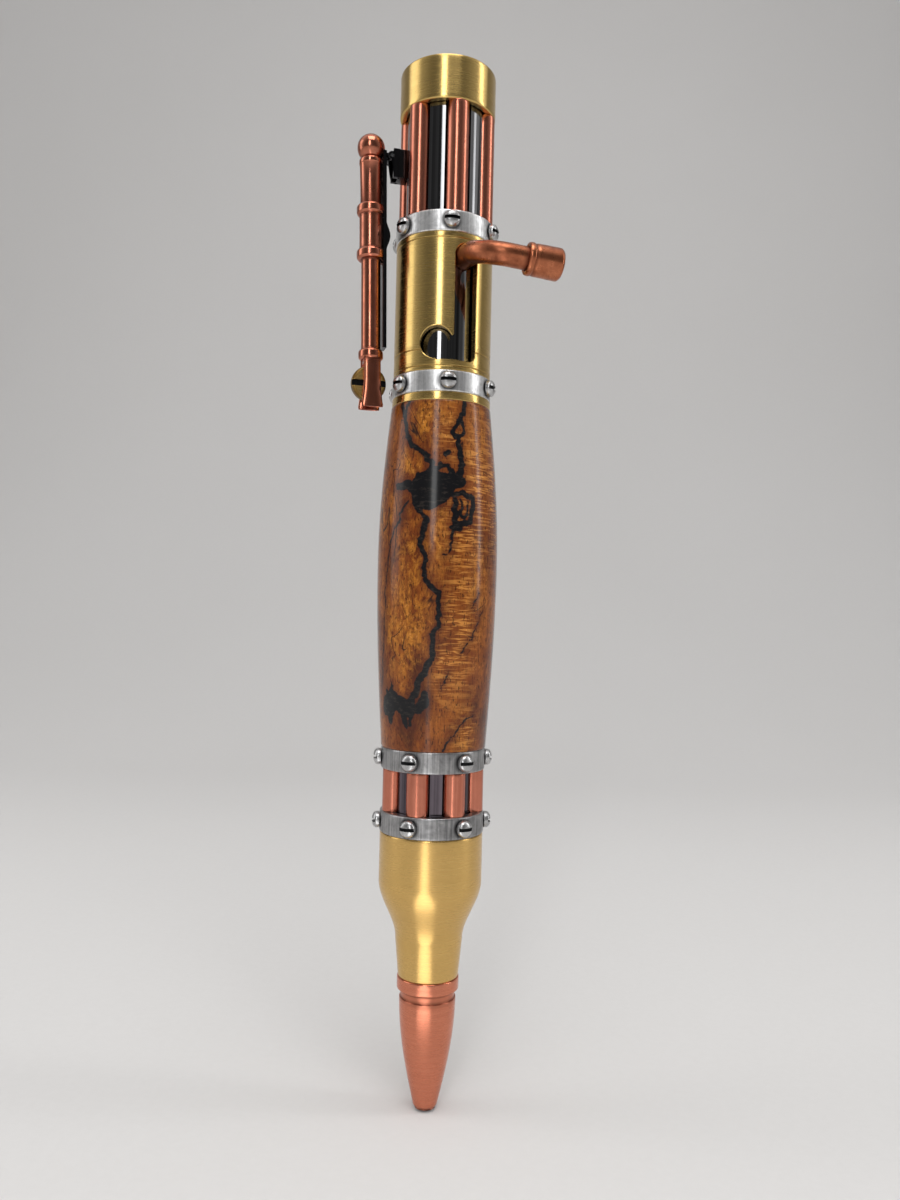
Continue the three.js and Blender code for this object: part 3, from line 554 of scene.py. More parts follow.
# Spalted wood under a gloss finish. Marks from the mesh: zone is the way to the nearest zone
# line's edge in mm, gold the paler patches, and ripple the curled figure.
def makeSpaltedWood():
    finish, tree, shader = newMaterial("spaltedWood")

    def cloud(name):
        around, along, detail, roughness, distortion = woodFigure[name]
        place = objectPlace(tree, (around, around, along))
        return noiseAt(tree, place, 1.0, detail, roughness, distortion)

    def shown(name, low, high, most=1.0):
        return spread(tree, cloud(name), low, high, 0.0, most)

    def laid(share, colour):
        return mixed(tree, share, ground, woodLook[colour])

    ground = addNode(tree, "ShaderNodeValToRGB", {"Fac": cloud("clouds")})
    stops = ground.color_ramp.elements
    stops.new(0.5)
    for stop, place, colour in zip(stops, (0.38, 0.50, 0.62), ("shade", "body", "light")):
        stop.position, stop.color = place, (*woodLook[colour], 1)
    ground = ground.outputs["Color"]
    goldPatch = spread(tree, attributeOf(tree, "gold"), 0.0, 0.75, 0.10, 1.0)
    goldShare = product(tree, goldPatch, shown("flakes", 0.42, 0.60))
    ground = laid(goldShare, "gold")
    # pale sparks where the figure catches light
    ground = laid(product(tree, shown("sparks", 0.56, 0.68, 0.75), goldShare), "curl")
    # fibres along the barrel, and flecks between them
    fibres = cloud("fibres")
    ground = laid(spread(tree, fibres, 0.46, 0.66, 0.0, 0.70), "fibre")
    ground = laid(shown("flecks", 0.56, 0.66, 0.60), "shade")
    # curled figure: broad bright bars across the fibres, and fine ones between them
    ripple = attributeOf(tree, "ripple")
    curl = mathOf(tree, "MAXIMUM", shown("bars", 0.54, 0.62, 0.95),
                  shown("fineBars", 0.52, 0.62, 0.70))
    ground = laid(product(tree, ripple, 0.6), "body")
    ground = laid(product(tree, ripple, curl), "curl")
    # open pores: short dark ticks
    ground = laid(shown("pores", 0.60, 0.67, 0.80), "pore")
    # zone lines with ragged edges, and the brown stain beside them
    wander = mathOf(tree, "SUBTRACT", cloud("wander"), 0.5)
    edge = mathOf(tree, "ADD", attributeOf(tree, "zone"),
                  product(tree, wander, woodLook["ragged"]))
    ground = laid(spread(tree, edge, 0.8, 0.0, 0.0, 0.65), "halo")
    # hair lines on the contours of a slow cloud
    contour = mathOf(tree, "ABSOLUTE", mathOf(tree, "SUBTRACT", cloud("slow"), 0.56))
    hairs = spread(tree, contour, 0.0045, 0.0015)
    ground = laid(product(tree, hairs, shown("gaps", 0.48, 0.60)), "hair")
    lineShare = spread(tree, edge, 0.045, -0.035)
    charred = mixed(tree, shown("embers", 0.52, 0.66), woodLook["line"], woodLook["char"])
    relief = mathOf(tree, "SUBTRACT", product(tree, fibres, 0.3), product(tree, lineShare, 0.5))
    feed(tree, shader, {
        "Base Color": mixed(tree, lineShare, ground, charred),
        "Roughness": spread(tree, fibres, 0.3, 0.7, 0.38, 0.55),
        "Coat Weight": 1, "Coat Roughness": 0.15, "Coat IOR": 1.3,
        "Specular IOR Level": 0.05,
        "Normal": bumpOf(tree, relief, 0.35, 0.03),
    })
    return finish


# Every finish with its slot in the record
finishes = {name: (makeMetal(name, look), look["slot"]) for name, look in metals.items()}
finishes["refillPlastic"] = makeRefillPlastic(), "refill_plastic"
finishes["spaltedWood"] = makeSpaltedWood(), "wood"
print("materials ready")

# Writing end
tip = {"noseRound": 0.35, "nose": 1.55, "root": 3.65, "collarHeight": 1.6, "grooveHeight": 1.1,
       "grooveDepth": 0.15, "bore": 1.2, "seat": 14.0, "spigot": 3.15, "cavity": 2.75, "lip": 0.16}


# Tip: the radius follows a quarter sine from the nose to the root
def makeTip():
    base, spigotTop, collar = measure("bullet_tip")
    top = measure("nib_shell")[0]
    collarBase = top - tip["collarHeight"]
    ogiveTop = collarBase - tip["grooveHeight"]
    share = np.linspace(0, 1, 36)
    nose, bore, lip, foot = tip["nose"], tip["bore"], tip["lip"], base + tip["noseRound"]
    radius = nose + (tip["root"] - nose) * np.sin(share * pi / 2)
    ogive = np.column_stack([radius, foot + (ogiveTop - foot) * share])
    grooved = tip["root"] - tip["grooveDepth"]
    outline = [(bore, base + lip), (bore + lip, base), (nose - tip["noseRound"], base), *ogive,
               (grooved, ogiveTop), (grooved, collarBase), (collar, collarBase), (collar, top),
               (tip["spigot"], top), (tip["spigot"], spigotTop), (tip["cavity"], spigotTop),
               (tip["cavity"], tip["seat"]), (bore, tip["seat"])]
    turnedPiece("penTip", outline, "turnedCopper", "pen", ["bullet_tip"], rounding=0.14)


nib = {"neck": 3.9, "flare": 0.45, "neckShare": 0.26, "shoulderShare": 0.66, "bore": 3.2,
       "wide": 5.35, "spigot": 5.0}


# Nib: the shoulder between neck and body is a smooth step, 3s^2 - 2s^3
def makeNib():
    base, top, outer = measure("nib_shell")
    share = np.linspace(0, 1, 48)
    neck, seat = nib["neck"] + nib["flare"], top - nib["spigot"]
    radius = neck + (outer - neck) * (3 * share ** 2 - 2 * share ** 3)
    rise = nib["neckShare"] + (nib["shoulderShare"] - nib["neckShare"]) * share
    shoulder = np.column_stack([radius, base + (top - base) * rise])
    outline = [(nib["bore"], base), (nib["neck"], base), *shoulder, (outer, top),
               (nib["wide"], top), (nib["wide"], seat), (nib["bore"], seat)]
    turnedPiece("nibShell", outline, "paleBrass", "pen", ["nib_shell"], rounding=0.16)


bands = {
    "nib_band": {"inner": 5.35, "first": -23.5, "count": 6, "finish": "antiquePewter"},
    "wood_band": {"inner": 5.35, "first": -23.5, "count": 6, "finish": "antiquePewter"},
    "housing_band": {"inner": 5.80, "first": 8.0, "count": 6, "finish": "paintedLightPewter"},
    "rod_band": {"inner": 5.35, "first": 8.0, "count": 6, "finish": "paintedLightPewter"},
}
screw = {"head": 1.05, "height": 0.95, "rim": 0.36, "shank": 0.45, "shankLength": 0.45,
         "slotWidth": 0.42, "slotDepth": 0.42, "seatGap": 0.05, "shadow": 0.36,
         "crownPower": 0.8, "footShadow": 0.16}


# Band: a ring with eased edges, with painted shadow in a halo round each screw head
def makeBand(name, size):
    base, top, outer = measure(name)
    outline = [(size["inner"], base), (outer, base), (outer, top), (size["inner"], top)]
    grid, marks = turnedGrid(outline, 192, rounding=0.22, step=0.2)
    points = grid[0]
    patinaAndShade = marks["patinaAndShade"].reshape(points.shape[:2])
    for azimuth in spaced(size):
        around = np.arctan2(points[..., 0], -points[..., 1]) - radians(azimuth)
        around = (around + pi) % (2 * pi) - pi
        gap = np.hypot(around * outer, points[..., 2] - (base + top) / 2) - screw["head"]
        patinaAndShade = np.maximum(patinaAndShade, np.exp(-(np.maximum(gap, 0) / screw["shadow"]) ** 2))
    marks["patinaAndShade"] = patinaAndShade.ravel()
    makePiece(name + "_ring", [grid], size["finish"], "pen", [name], marks)


# Screw head: a button whose crown falls off as a circle's arc, slotted by a flat cutter
def makeScrews(name, size):
    base, top, outer = measure(name)
    angle = np.linspace(0, pi / 2, 10)
    head, height, shank, foot = (screw[key] for key in ("head", "height", "shank", "shankLength"))
    crown = np.column_stack([head * np.cos(angle) ** screw["crownPower"],
                             screw["rim"] + (height - screw["rim"]) * np.sin(angle)])
    crown[-1, 0] = 0
    outline = [(0, -foot), (shank, -foot), (shank, 0), (head, 0), *crown]
    grid, marks = turnedGrid(outline, 40, rounding=0.06, step=0.15)
    # Painted shadow on each head, darkest at its foot against the band
    marks["patinaAndShade"] = np.exp(-np.maximum(grid[0][..., 2], 0).ravel() / screw["footShadow"])
    out = Matrix.Translation((0, -(outer + screw["seatGap"]), (base + top) / 2))
    places = [roundAt(azimuth) @ out @ quarterTurn("X") for azimuth in spaced(size)]
    grids, marks = placed([grid], marks, places)
    nodes = [f"{name}_screw_{at + 1}" for at in range(size["count"])]
    piece = makePiece(name + "_screws", grids, "screwPewter", "pen", nodes, marks)
    half, low, high = screw["slotWidth"] / 2, height - screw["slotDepth"], height * 2
    bar = [(-half, low), (half, low), (half, high), (-half, high)]
    slot = prism(bar, -head * 1.5, head * 1.5)
    carve(piece, [makeCutter("slot", moved(slot, place)) for place in places], "paintedSlotShade")


rods = {
    "lower": {"count": 7, "first": -19.2, "envelope": 6.65, "bore": 3.2, "core": "paintedShadeMirror"},
    "upper": {"count": 6, "first": 16.5, "envelope": 6.35, "bore": 2.9, "core": "mirrorChrome"},
}
rodRadius = 1.45
coreClearance = 0.05
# Strength of the painted shade in the core's grooves under the rods
grooveShade = 0.4


# Rods: bars with eased ends that stand in a ring
def makeRods(name, size):
    base, top, _ = measure(f"{name}_rod_1")
    outline = [(0, base), (rodRadius, base), (rodRadius, top), (0, top)]
    grid, marks = turnedGrid(outline, 48, rounding=0.1, step=0.3)
    out = Matrix.Translation((0, -(size["envelope"] - rodRadius), 0))
    grids, marks = placed([grid], marks, [roundAt(azimuth) @ out for azimuth in spaced(size)])
    nodes = [f"{name}_rod_{at + 1}" for at in range(size["count"])]
    makePiece(f"{name}_rods", grids, "copperPlate", "pen", nodes, marks)


# Core: its radius is the spigot's, and drops to each rod's groove where a ray from the axis
# meets the groove's circle, at c cos(a) - sqrt(g^2 - c^2 sin(a)^2)
def makeCore(name, size):
    base, top, outer = measure(f"{name}_core")
    centre, groove = size["envelope"] - rodRadius, rodRadius + coreClearance
    angle = np.linspace(0, 2 * pi, 336, endpoint=False)
    pitch = 2 * pi / size["count"]
    off = (angle - radians(size["first"]) + pitch / 2) % pitch - pitch / 2
    inside = groove ** 2 - (centre * np.sin(off)) ** 2
    reached = centre * np.cos(off) - np.sqrt(np.maximum(inside, 0))
    radius = np.where(inside > 0, np.minimum(outer, reached), outer)
    height = np.linspace(base, top, 24)
    radii = np.concatenate([np.tile(radius, (24, 1)), np.full((24, len(angle)), size["bore"])])
    rise = np.repeat(np.concatenate([height, height[::-1]])[:, None], len(angle), axis=1)
    grid = np.stack([radii * np.sin(angle), -radii * np.cos(angle), rise], axis=-1)
    marks = unworn(rise.size)
    # Painted shade in the rods' grooves on the core
    marks["patinaAndShade"] = np.tile(np.where(radius < outer - 0.3, grooveShade, 0.0), len(rise))
    makePiece(f"{name}Core", [(grid, True, True)], size["core"], "pen", [f"{name}_core"], marks)


makeTip()
makeNib()
for bandName, bandSize in bands.items():
    makeBand(bandName, bandSize)
    makeScrews(bandName, bandSize)
for rodName, rodSize in rods.items():
    makeRods(rodName, rodSize)
    makeCore(rodName, rodSize)
print("tip, nib, bands, screws, rods and cores ready")

# Wooden barrel
barrel = {"lower": 6.8, "belly": 7.82, "upper": 6.5, "bellyShare": 0.55, "bore": 5.85,
          "around": 300, "along": 280, "ease": 0.08, "lineRadius": 7.3, "lineReach": 3.0}

# Zone lines: points of (azimuth in degrees, height in mm, half width in mm)
zoneLines = [
    [(-48, 90.4, 0.34), (-41, 88.5, 0.30), (-36, 86.2, 0.28), (-30, 84.7, 0.34), (-20, 84.0, 0.30),
     (-11, 83.2, 0.34), (-6, 82.3, 0.30), (-8, 81.2, 0.34), (-14, 80.8, 0.25)],
    [(-36, 90.4, 0.22), (-40, 89.4, 0.18), (-42, 88.9, 0.14)],
    [(28, 90.4, 0.26), (26, 89.2, 0.34), (22, 88.0, 0.34), (15, 86.8, 0.20), (14, 86.1, 0.26),
     (18, 85.7, 0.20), (24, 86.0, 0.20), (26, 87.0, 0.18), (24, 87.8, 0.20)],
    [(19, 85.5, 0.20), (19, 84.9, 0.30), (22, 83.8, 0.36), (24, 82.2, 0.36), (22, 81.2, 0.40),
     (17, 80.4, 0.6)],
    [(-5, 81.2, 0.35), (2, 82.2, 0.25), (9, 82.0, 0.22), (13, 81.2, 0.28), (12, 80.6, 0.3)],
    [(6, 83.4, 0.30), (9, 83.7, 0.34)],
    [(-21, 79.6, 0.20), (-20, 81.0, 0.18), (-18, 80.6, 0.15), (-13, 80.9, 0.2)],
    [(-43, 79.7, 0.30), (-34, 79.6, 0.55), (-22, 79.2, 0.70), (-12, 79.2, 1.9), (-4, 79.1, 2.1),
     (3, 79.3, 1.7), (12, 79.9, 0.95), (22, 80.1, 0.7)],
    [(-18, 78.0, 1.0), (-8, 77.7, 1.3), (2, 78.2, 0.9)],
    [(14, 78.3, 0.30), (24, 78.7, 0.34), (33, 78.4, 0.30), (35, 77.3, 0.30), (33, 76.0, 0.30),
     (28, 75.0, 0.34), (20, 74.5, 0.46), (16, 75.2, 0.42), (15, 76.6, 0.36), (16, 77.8, 0.30)],
    [(22, 77.9, 0.12), (21, 76.4, 0.16), (23, 75.6, 0.14), (29, 76.0, 0.14), (29, 77.6, 0.10)],
    [(17, 74.4, 0.34), (13, 74.2, 0.20)],
    [(15, 74.0, 0.16), (14, 72.6, 0.13), (12, 71.4, 0.10), (6, 70.9, 0.10)],
    [(-29, 77.5, 0.12), (-35, 76.4, 0.14), (-37, 75.3, 0.14), (-44, 74.3, 0.11), (-49, 72.5, 0.09),
     (-52, 70.0, 0.08), (-57, 66.0, 0.08), (-58, 61.0, 0.08), (-63, 56.5, 0.08), (-66, 54.0, 0.10)],
    [(-22, 77.3, 0.34), (-20, 76.5, 0.25), (-15, 76.1, 0.22), (-9, 75.1, 0.31), (-13, 74.0, 0.35),
     (-16, 72.8, 0.28), (-11, 71.0, 0.28), (-11, 69.0, 0.25), (-7, 67.4, 0.31), (1, 66.2, 0.31),
     (2, 65.0, 0.25), (4, 63.4, 0.28), (3, 62.2, 0.25), (-3, 61.0, 0.28), (-2, 59.2, 0.31),
     (-4, 57.5, 0.35), (-9, 56.1, 0.42), (-16, 54.9, 0.42), (-20, 53.5, 0.42), (-23, 52.1, 0.42),
     (-24, 50.9, 0.38), (-23, 49.7, 0.17)],
    [(-24, 52.2, 0.80), (-33, 52.0, 1.05), (-40, 52.3, 0.85), (-47, 52.5, 1.20), (-53, 52.0, 1.15),
     (-58, 51.2, 0.6)],
    [(-47, 54.9, 0.12), (-48, 53.4, 0.60), (-49, 51.2, 0.80), (-48, 49.8, 0.18)],
    [(-56, 54.0, 0.10), (-57, 52.6, 0.45), (-60, 51.2, 0.30)],
    [(-31, 51.2, 0.50), (-29, 50.0, 0.30), (-28, 49.2, 0.10)],
    [(-9, 53.7, 0.42), (-10, 52.4, 0.66), (-15, 51.7, 0.60)],
    [(143, 73.6, 0.15), (148, 72.2, 0.55), (153, 71.2, 1.05), (160, 70.6, 0.60), (166, 69.2, 0.20)],
    [(204, 62.9, 0.20), (211, 61.6, 0.80), (219, 60.6, 1.25), (224, 58.8, 0.70), (222, 56.9, 0.20)],
    [(106, 56.6, 0.12), (111, 55.2, 0.60), (117, 54.6, 0.35), (123, 54.9, 0.12)],
    [(44, 66.3, 0.05), (40, 65.3, 0.05), (36, 64.4, 0.06)],
    [(51, 64.2, 0.05), (44, 62.5, 0.06), (38, 61.0, 0.07), (32, 59.9, 0.08), (26, 58.8, 0.06)],
    [(46, 51.0, 0.06), (36, 50.6, 0.08), (28, 49.7, 0.08), (18, 48.0, 0.09), (11, 46.6, 0.10)],
    [(14, 56.6, 0.06), (10, 55.2, 0.10), (7, 54.4, 0.05)],
]
# Zone lines on the side that the photograph doesn't show: they wander about a mean azimuth
farLines = [
    {"azimuth": 122, "sway": 24, "halfWidth": 0.30, "low": 46.6, "high": 90.3},
    {"azimuth": 168, "sway": 26, "halfWidth": 0.26, "low": 57.0, "high": 90.3},
    {"azimuth": 216, "sway": 24, "halfWidth": 0.38, "low": 46.6, "high": 78.0},
    {"azimuth": 258, "sway": 14, "halfWidth": 0.12, "low": 50.0, "high": 90.3},
    {"azimuth": 92, "sway": 12, "halfWidth": 0.10, "low": 58.0, "high": 86.0},
]
# Paler patches and curled figure: (azimuth, height, spread round in degrees, spread along in mm)
goldPatches = [
    (-30, 62.0, 26, 6.0), (-20, 70.0, 16, 4.0), (-14, 88.0, 14, 2.6), (-30, 82.0, 12, 2.0),
    (4, 73.0, 9, 3.5), (34, 49.0, 12, 2.6), (38, 68.0, 13, 4.0), (-62, 76.0, 16, 3.0),
    (130, 80.0, 26, 6.0), (190, 52.0, 26, 4.0), (245, 70.0, 20, 8.0), (100, 65.0, 14, 6.0),
    (6, 88.5, 10, 2.0), (46, 86.0, 14, 3.0),
]
ripplePatches = [
    (28, 74.0, 20, 9.0), (24, 62.0, 17, 8.0), (44, 80.0, 20, 8.0), (14, 86.0, 12, 3.5),
    (12, 57.0, 12, 4.0), (66, 80.0, 16, 8.0), (34, 49.0, 14, 2.4), (150, 60.0, 24, 9.0),
    (250, 82.0, 20, 7.0), (205, 74.0, 18, 6.0),
]


def degreesFrom(azimuth, centre):
    return (azimuth - centre + 180) % 360 - 180


# A line's points with each run halved three times, and the new points set aside at random
def roughen(line):
    line = np.array(line, float)
    for size in (0.20, 0.12, 0.07):
        middle = (line[1:] + line[:-1]) / 2
        middle[:, 0] += rng.normal(0, size * 6, len(middle))
        middle[:, 1] += rng.normal(0, size, len(middle))
        grown = np.empty((len(line) + len(middle), 3))
        grown[0::2], grown[1::2] = line, middle
        line = grown
    return line


# Way from each surface point to the nearest zone line's edge: the least distance to a run of
# a line, less the half width there
def zoneDistance(azimuth, height):
    lines = [roughen(line) for line in zoneLines]
    for far in farLines:
        walk = np.cumsum(rng.normal(0, 1, 15))
        walk -= (walk.min() + walk.max()) / 2
        level = np.linspace(far["low"], far["high"], len(walk))
        width = far["halfWidth"] * rng.uniform(0.5, 1.5, len(walk))
        wandering = far["azimuth"] + far["sway"] * walk / walk.max()
        lines.append(roughen(np.column_stack([wandering, level, width])))
    nearest = np.full(azimuth.shape, barrel["lineReach"])
    arcScale = radians(1) * barrel["lineRadius"]
    for line in lines:
        for (a, za, wa), (b, zb, wb) in zip(line[:-1], line[1:]):
            x, z = degreesFrom(azimuth, a) * arcScale, height - za
            along, up = (b - a) * arcScale, zb - za
            share = np.clip((x * along + z * up) / (along ** 2 + up ** 2), 0, 1)
            gap = np.hypot(x - share * along, z - share * up) - (wa + (wb - wa) * share)
            nearest = np.minimum(nearest, gap)
    return nearest


# Share of a patch at each point: a bell round its middle
def patchShare(patches, azimuth, height):
    share = np.zeros(azimuth.shape)
    for a, level, roundSpread, alongSpread in patches:
        x, z = degreesFrom(azimuth, a) / roundSpread, (height - level) / alongSpread
        share = np.maximum(share, np.exp(-(x ** 2 + z ** 2)))
    return share


# Barrel: the radius swells from each neck to the belly as a quarter sine
def makeBarrel():
    base, top, _ = measure("wood_barrel")
    lower, most, upper, bore = (barrel[key] for key in ("lower", "belly", "upper", "bore"))
    height = np.linspace(base, top, barrel["along"])
    belly = base + (top - base) * barrel["bellyShare"]
    rising = np.sin((height - base) / (belly - base) * pi / 2)
    falling = np.cos((height - belly) / (top - belly) * pi / 2)
    swell = np.where(height < belly, lower + (most - lower) * rising,
                     upper + (most - upper) * falling)
    swell[[0, -1]] -= barrel["ease"]
    outline = np.concatenate([[(bore, base)], np.column_stack([swell, height]), [(bore, top)]])
    angle = np.linspace(0, 2 * pi, barrel["around"], endpoint=False) + pi
    azimuth, level = np.meshgrid(np.degrees(angle), outline[:, 1])
    radius = np.repeat(outline[:, :1], barrel["around"], axis=1)
    grid = np.stack([radius * np.sin(angle), -radius * np.cos(angle), level], axis=-1)
    marks = {"zone": zoneDistance(azimuth, level),
             "gold": patchShare(goldPatches, azimuth, level),
             "ripple": patchShare(ripplePatches, azimuth, level)}
    makePiece("woodBarrel", [(grid, True, True)], "spaltedWood", "pen", ["wood_barrel"], marks)


sleeve = {"bore": 5.35, "outer": 5.80, "trim": 1.05}


# Sleeve: a tube in the wood with a flange on top, recessed for the housing's spigot
def makeSleeve():
    base, top, flange = measure("barrel_sleeve")
    bore, outer, trim = sleeve["bore"], sleeve["outer"], sleeve["trim"]
    outline = [(bore, base), (outer, base), (outer, top - trim), (flange, top - trim),
               (flange, top), (outer, top), (outer, top - trim / 2), (bore, top - trim / 2)]
    turnedPiece("barrelSleeve", outline, "brushedBrass", "pen", ["barrel_sleeve"], 160)


makeBarrel()
makeSleeve()
print("wooden barrel ready")

# Housing with its hooked slot
housing = {"bore": 5.35, "spigot": 5.75, "grooveDepth": 0.12, "grooveHeight": 0.16,
           "grooves": (0.55, 2.65), "topGroove": 0.75, "slotAzimuth": 28.0, "slotHalf": 1.54,
           "catchAzimuth": -6.5, "catchRadius": 2.1, "catchLift": 0.1, "passage": 3.2,
           "corner": 0.9, "hook": 0.35, "travel": 11.9, "leverDrop": 2.85, "leverRadius": 1.42,
           "clearance": 0.12, "chamfer": 0.10, "chamferOver": 0.1, "cutFrom": 4.2, "cutTo": 7.6}


# Housing: a grooved tube, cut by the lever's slot, the catch and the passage between them
def makeHousing():
    spigotBase, top, outer = measure("housing")
    base = measure("housing_band")[1]
    bore, spigot = housing["bore"], housing["spigot"]

    def groove(level):
        half = housing["grooveHeight"] / 2
        return [(outer, level - half), (outer - housing["grooveDepth"], level),
                (outer, level + half)]

    levels = [*[base + rise for rise in housing["grooves"]], top - housing["topGroove"]]
    outline = [(bore, spigotBase), (spigot, spigotBase), (spigot, base), (outer, base),
               *sum((groove(level) for level in levels), []), (outer, top), (bore, top)]
    grid, marks = turnedGrid(outline, 240, rounding=0.10, step=0.5, bend=0.5)
    piece = makePiece("housingTube", [grid], "brushedBrass", "pen", ["housing"], marks)
    lever = top - housing["leverDrop"]
    foot = lever - housing["travel"] - housing["leverRadius"] - housing["clearance"]
    half, corner = housing["slotHalf"], housing["corner"]
    slot = np.concatenate([arc((0, lever), half, 0, 180, 20),
                           arc((corner - half, foot + corner), corner, 180, 270, 8),
                           arc((half - corner, foot + corner), corner, 270, 360, 8)])
    catchLevel = foot + housing["catchRadius"] + housing["catchLift"]
    catch = arc((0, catchLevel), housing["catchRadius"], 0, 350, 36)
    slotAt, catchAt = housing["slotAzimuth"], housing["catchAzimuth"]
    width = outer * np.sin(radians(slotAt - catchAt) / 2)
    hook, roof = housing["hook"], foot + housing["passage"]
    passage = np.array([(-width, foot), (width, foot), (width, roof), (hook - width, roof),
                        (-width, roof - hook)])
    cutters = []
    for name, shape, azimuth in (("slot", slot, slotAt), ("catch", catch, catchAt),
                                 ("passage", passage, (slotAt + catchAt) / 2)):
        through = frontPrism(shape, housing["cutFrom"], housing["cutTo"])
        for part, grid in ((name, through), (name + "Edge", chamferGrid(shape, outer))):
            cutters.append(makeCutter(part, moved(grid, roundAt(azimuth))))
    carve(piece, cutters)


# Widens a cut where it meets the tube's outside: each row of the outline is drawn out by as
# much as its radius has grown, on angles asin(x / outer) round the tube
def chamferGrid(outline, outer):
    size, over = housing["chamfer"], housing["chamferOver"]
    runs = np.roll(outline, -1, 0) - np.roll(outline, 1, 0)
    normals = unit(np.column_stack([runs[:, 1], -runs[:, 0]])) * np.sign(doubleArea(outline))
    centre = np.repeat(outline.mean(0)[None], len(outline), 0)
    rows = [(centre, outer - size * 2), (outline - normals * size, outer - size * 2),
            (outline + normals * (size + over), outer + over), (centre, outer + over)]
    grids = []
    for row, radius in rows:
        angle = np.arcsin(np.clip(row[:, 0] / outer, -1, 1))
        grids.append(np.column_stack([radius * np.sin(angle), -radius * np.cos(angle), row[:, 1]]))
    return np.stack(grids)


cap = {"recess": 5.35, "recessDepth": 3.05, "edge": 0.25}


# Cap: a disc with a skirt
def makeCap():
    base, top, outer = measure("cap")
    recess, roof = cap["recess"], base + cap["recessDepth"]
    outline = [(0, roof), (recess, roof), (recess, base), (outer, base), (outer, top), (0, top)]
    turnedPiece("capPiece", outline, "brushedBrass", "pen", ["cap"], 160, rounding=cap["edge"])


makeHousing()
makeCap()
print("housing and cap ready")

# Bolt, lever, knob, refill and spring
bolt = {"stem": 2.6, "stemLength": 14.5, "socket": 3.0, "socketGap": 0.05, "hole": 1.52,
        "holeFrom": 2.55, "holeTo": 6.2, "ease": 0.12}


# Bolt: a stepped rod with the refill's socket below and the lever's hole in front
def makeBolt():
    base, top, outer = measure("bolt")
    stem, socket, shoulder = bolt["stem"], bolt["socket"], top - bolt["stemLength"]
    roof = measure("refill")[1] + bolt["socketGap"]
    outline = [(socket, base), (outer, base), (outer, shoulder), (stem, shoulder), (stem, top),
               (0, top), (0, roof), (socket, roof)]
    grid, marks = turnedGrid(outline, rounding=bolt["ease"], step=0.8)
    piece = makePiece("boltBody", [grid], "mirrorChrome", "bolt", ["bolt"], marks)
    level = measure("housing")[1] - housing["leverDrop"]
    hole = frontPrism(arc((0, level), bolt["hole"], 0, 352, 32), bolt["holeFrom"], bolt["holeTo"])
    carve(piece, [makeCutter("hole", moved(hole, roundAt(housing["slotAzimuth"])))])


lever = {"root": 2.6, "straight": 7.55, "reach": 11.64, "bendDrop": 1.2, "armAzimuth": 103.0,
         "armSlope": 5.0, "armLength": 7.0, "knobRadius": 2.0, "knobLength": 4.5,
         "knobBore": 2.2, "collar": 0.62, "collarDip": 0.09, "gap": 0.05, "stainAndShade": 0.5}


# Lever: straight out, round a quadratic bend, and straight along its arm
def leverPath():
    level = measure("housing")[1] - housing["leverDrop"]
    a, b = radians(housing["slotAzimuth"]), radians(lever["armAzimuth"])
    out = np.array([np.sin(a), -np.cos(a), 0])
    arm = unit(np.array([np.sin(b), -np.cos(b), -np.tan(radians(lever["armSlope"]))]))
    up = np.array([0, 0, 1.0])
    root, straight = out * lever["root"] + up * level, out * lever["straight"] + up * level
    corner = out * lever["reach"] + up * (level - lever["bendDrop"])
    armStart = corner + arm * housing["leverRadius"] * 2
    end = corner + arm * lever["armLength"]
    bend = bendOf(np.linspace(0, 1, 40)[:, None], straight, corner, armStart)
    lead = root + (straight - root) * np.linspace(0, 1, 10, endpoint=False)[:, None]
    tail = armStart + (end - armStart) * np.linspace(0, 1, 12)[1:, None]
    return np.concatenate([lead, bend, tail]), end, arm


# The lever's rod, stained towards its knob, and the knob turned on the arm
def makeLever():
    path, end, arm = leverPath()
    grids, marks = carriedGrid(path, housing["leverRadius"], 56)
    knobFoot = end - arm * lever["knobBore"]
    nearKnob = ((grids[0][0] - knobFoot) @ arm).ravel()
    marks["patinaAndShade"] = np.exp(-(nearKnob / lever["stainAndShade"]) ** 2)
    makePiece("boltLever", grids, "agedCopper", "bolt", ["bolt_lever"], marks)
    bore, outer = housing["leverRadius"] + lever["gap"], lever["knobRadius"]
    length, dip, collar = lever["knobLength"], outer - lever["collarDip"], lever["collar"]
    outline = [(bore, 0), (outer - 0.1, 0), (outer, 0.25), (outer, collar), (dip, collar + 0.12),
               (dip, collar + 0.32), (outer - 0.04, collar + 0.5), (outer, length - 0.35),
               (outer - 0.3, length), (0, length), (0, lever["knobBore"]),
               (bore, lever["knobBore"])]
    grid, marks = turnedGrid(outline, 72, rounding=0.14, step=0.25)
    across = unit(np.cross([0, 0, 1.0], arm))
    place = np.eye(4)
    place[:3, :3] = np.column_stack([across, np.cross(arm, across), arm])
    place[:3, 3] = knobFoot + arm * lever["gap"]
    grids, marks = placed([grid], marks, [place])
    makePiece("boltKnob", grids, "agedCopper", "bolt", ["bolt_knob"], marks)


refill = {"ball": 0.3, "stem": 0.95, "point": 3.0, "stemLength": 27.8}


# Refill: a wide tube with a stem that narrows to its ball
def makeRefill():
    base, top, outer = measure("refill")
    ball, stem, shoulder = refill["ball"], refill["stem"], base + refill["stemLength"]
    outline = [(0, base), (ball, base + 0.1), (ball, base + 0.35), (stem, base + refill["point"]),
               (stem, shoulder), (outer, shoulder), (outer, top), (0, top)]
    turnedPiece("refillBody", outline, "refillPlastic", "bolt", ["refill"], 64, step=2.0)


spring = {"mean": 2.1, "wire": 0.25, "turns": 10}


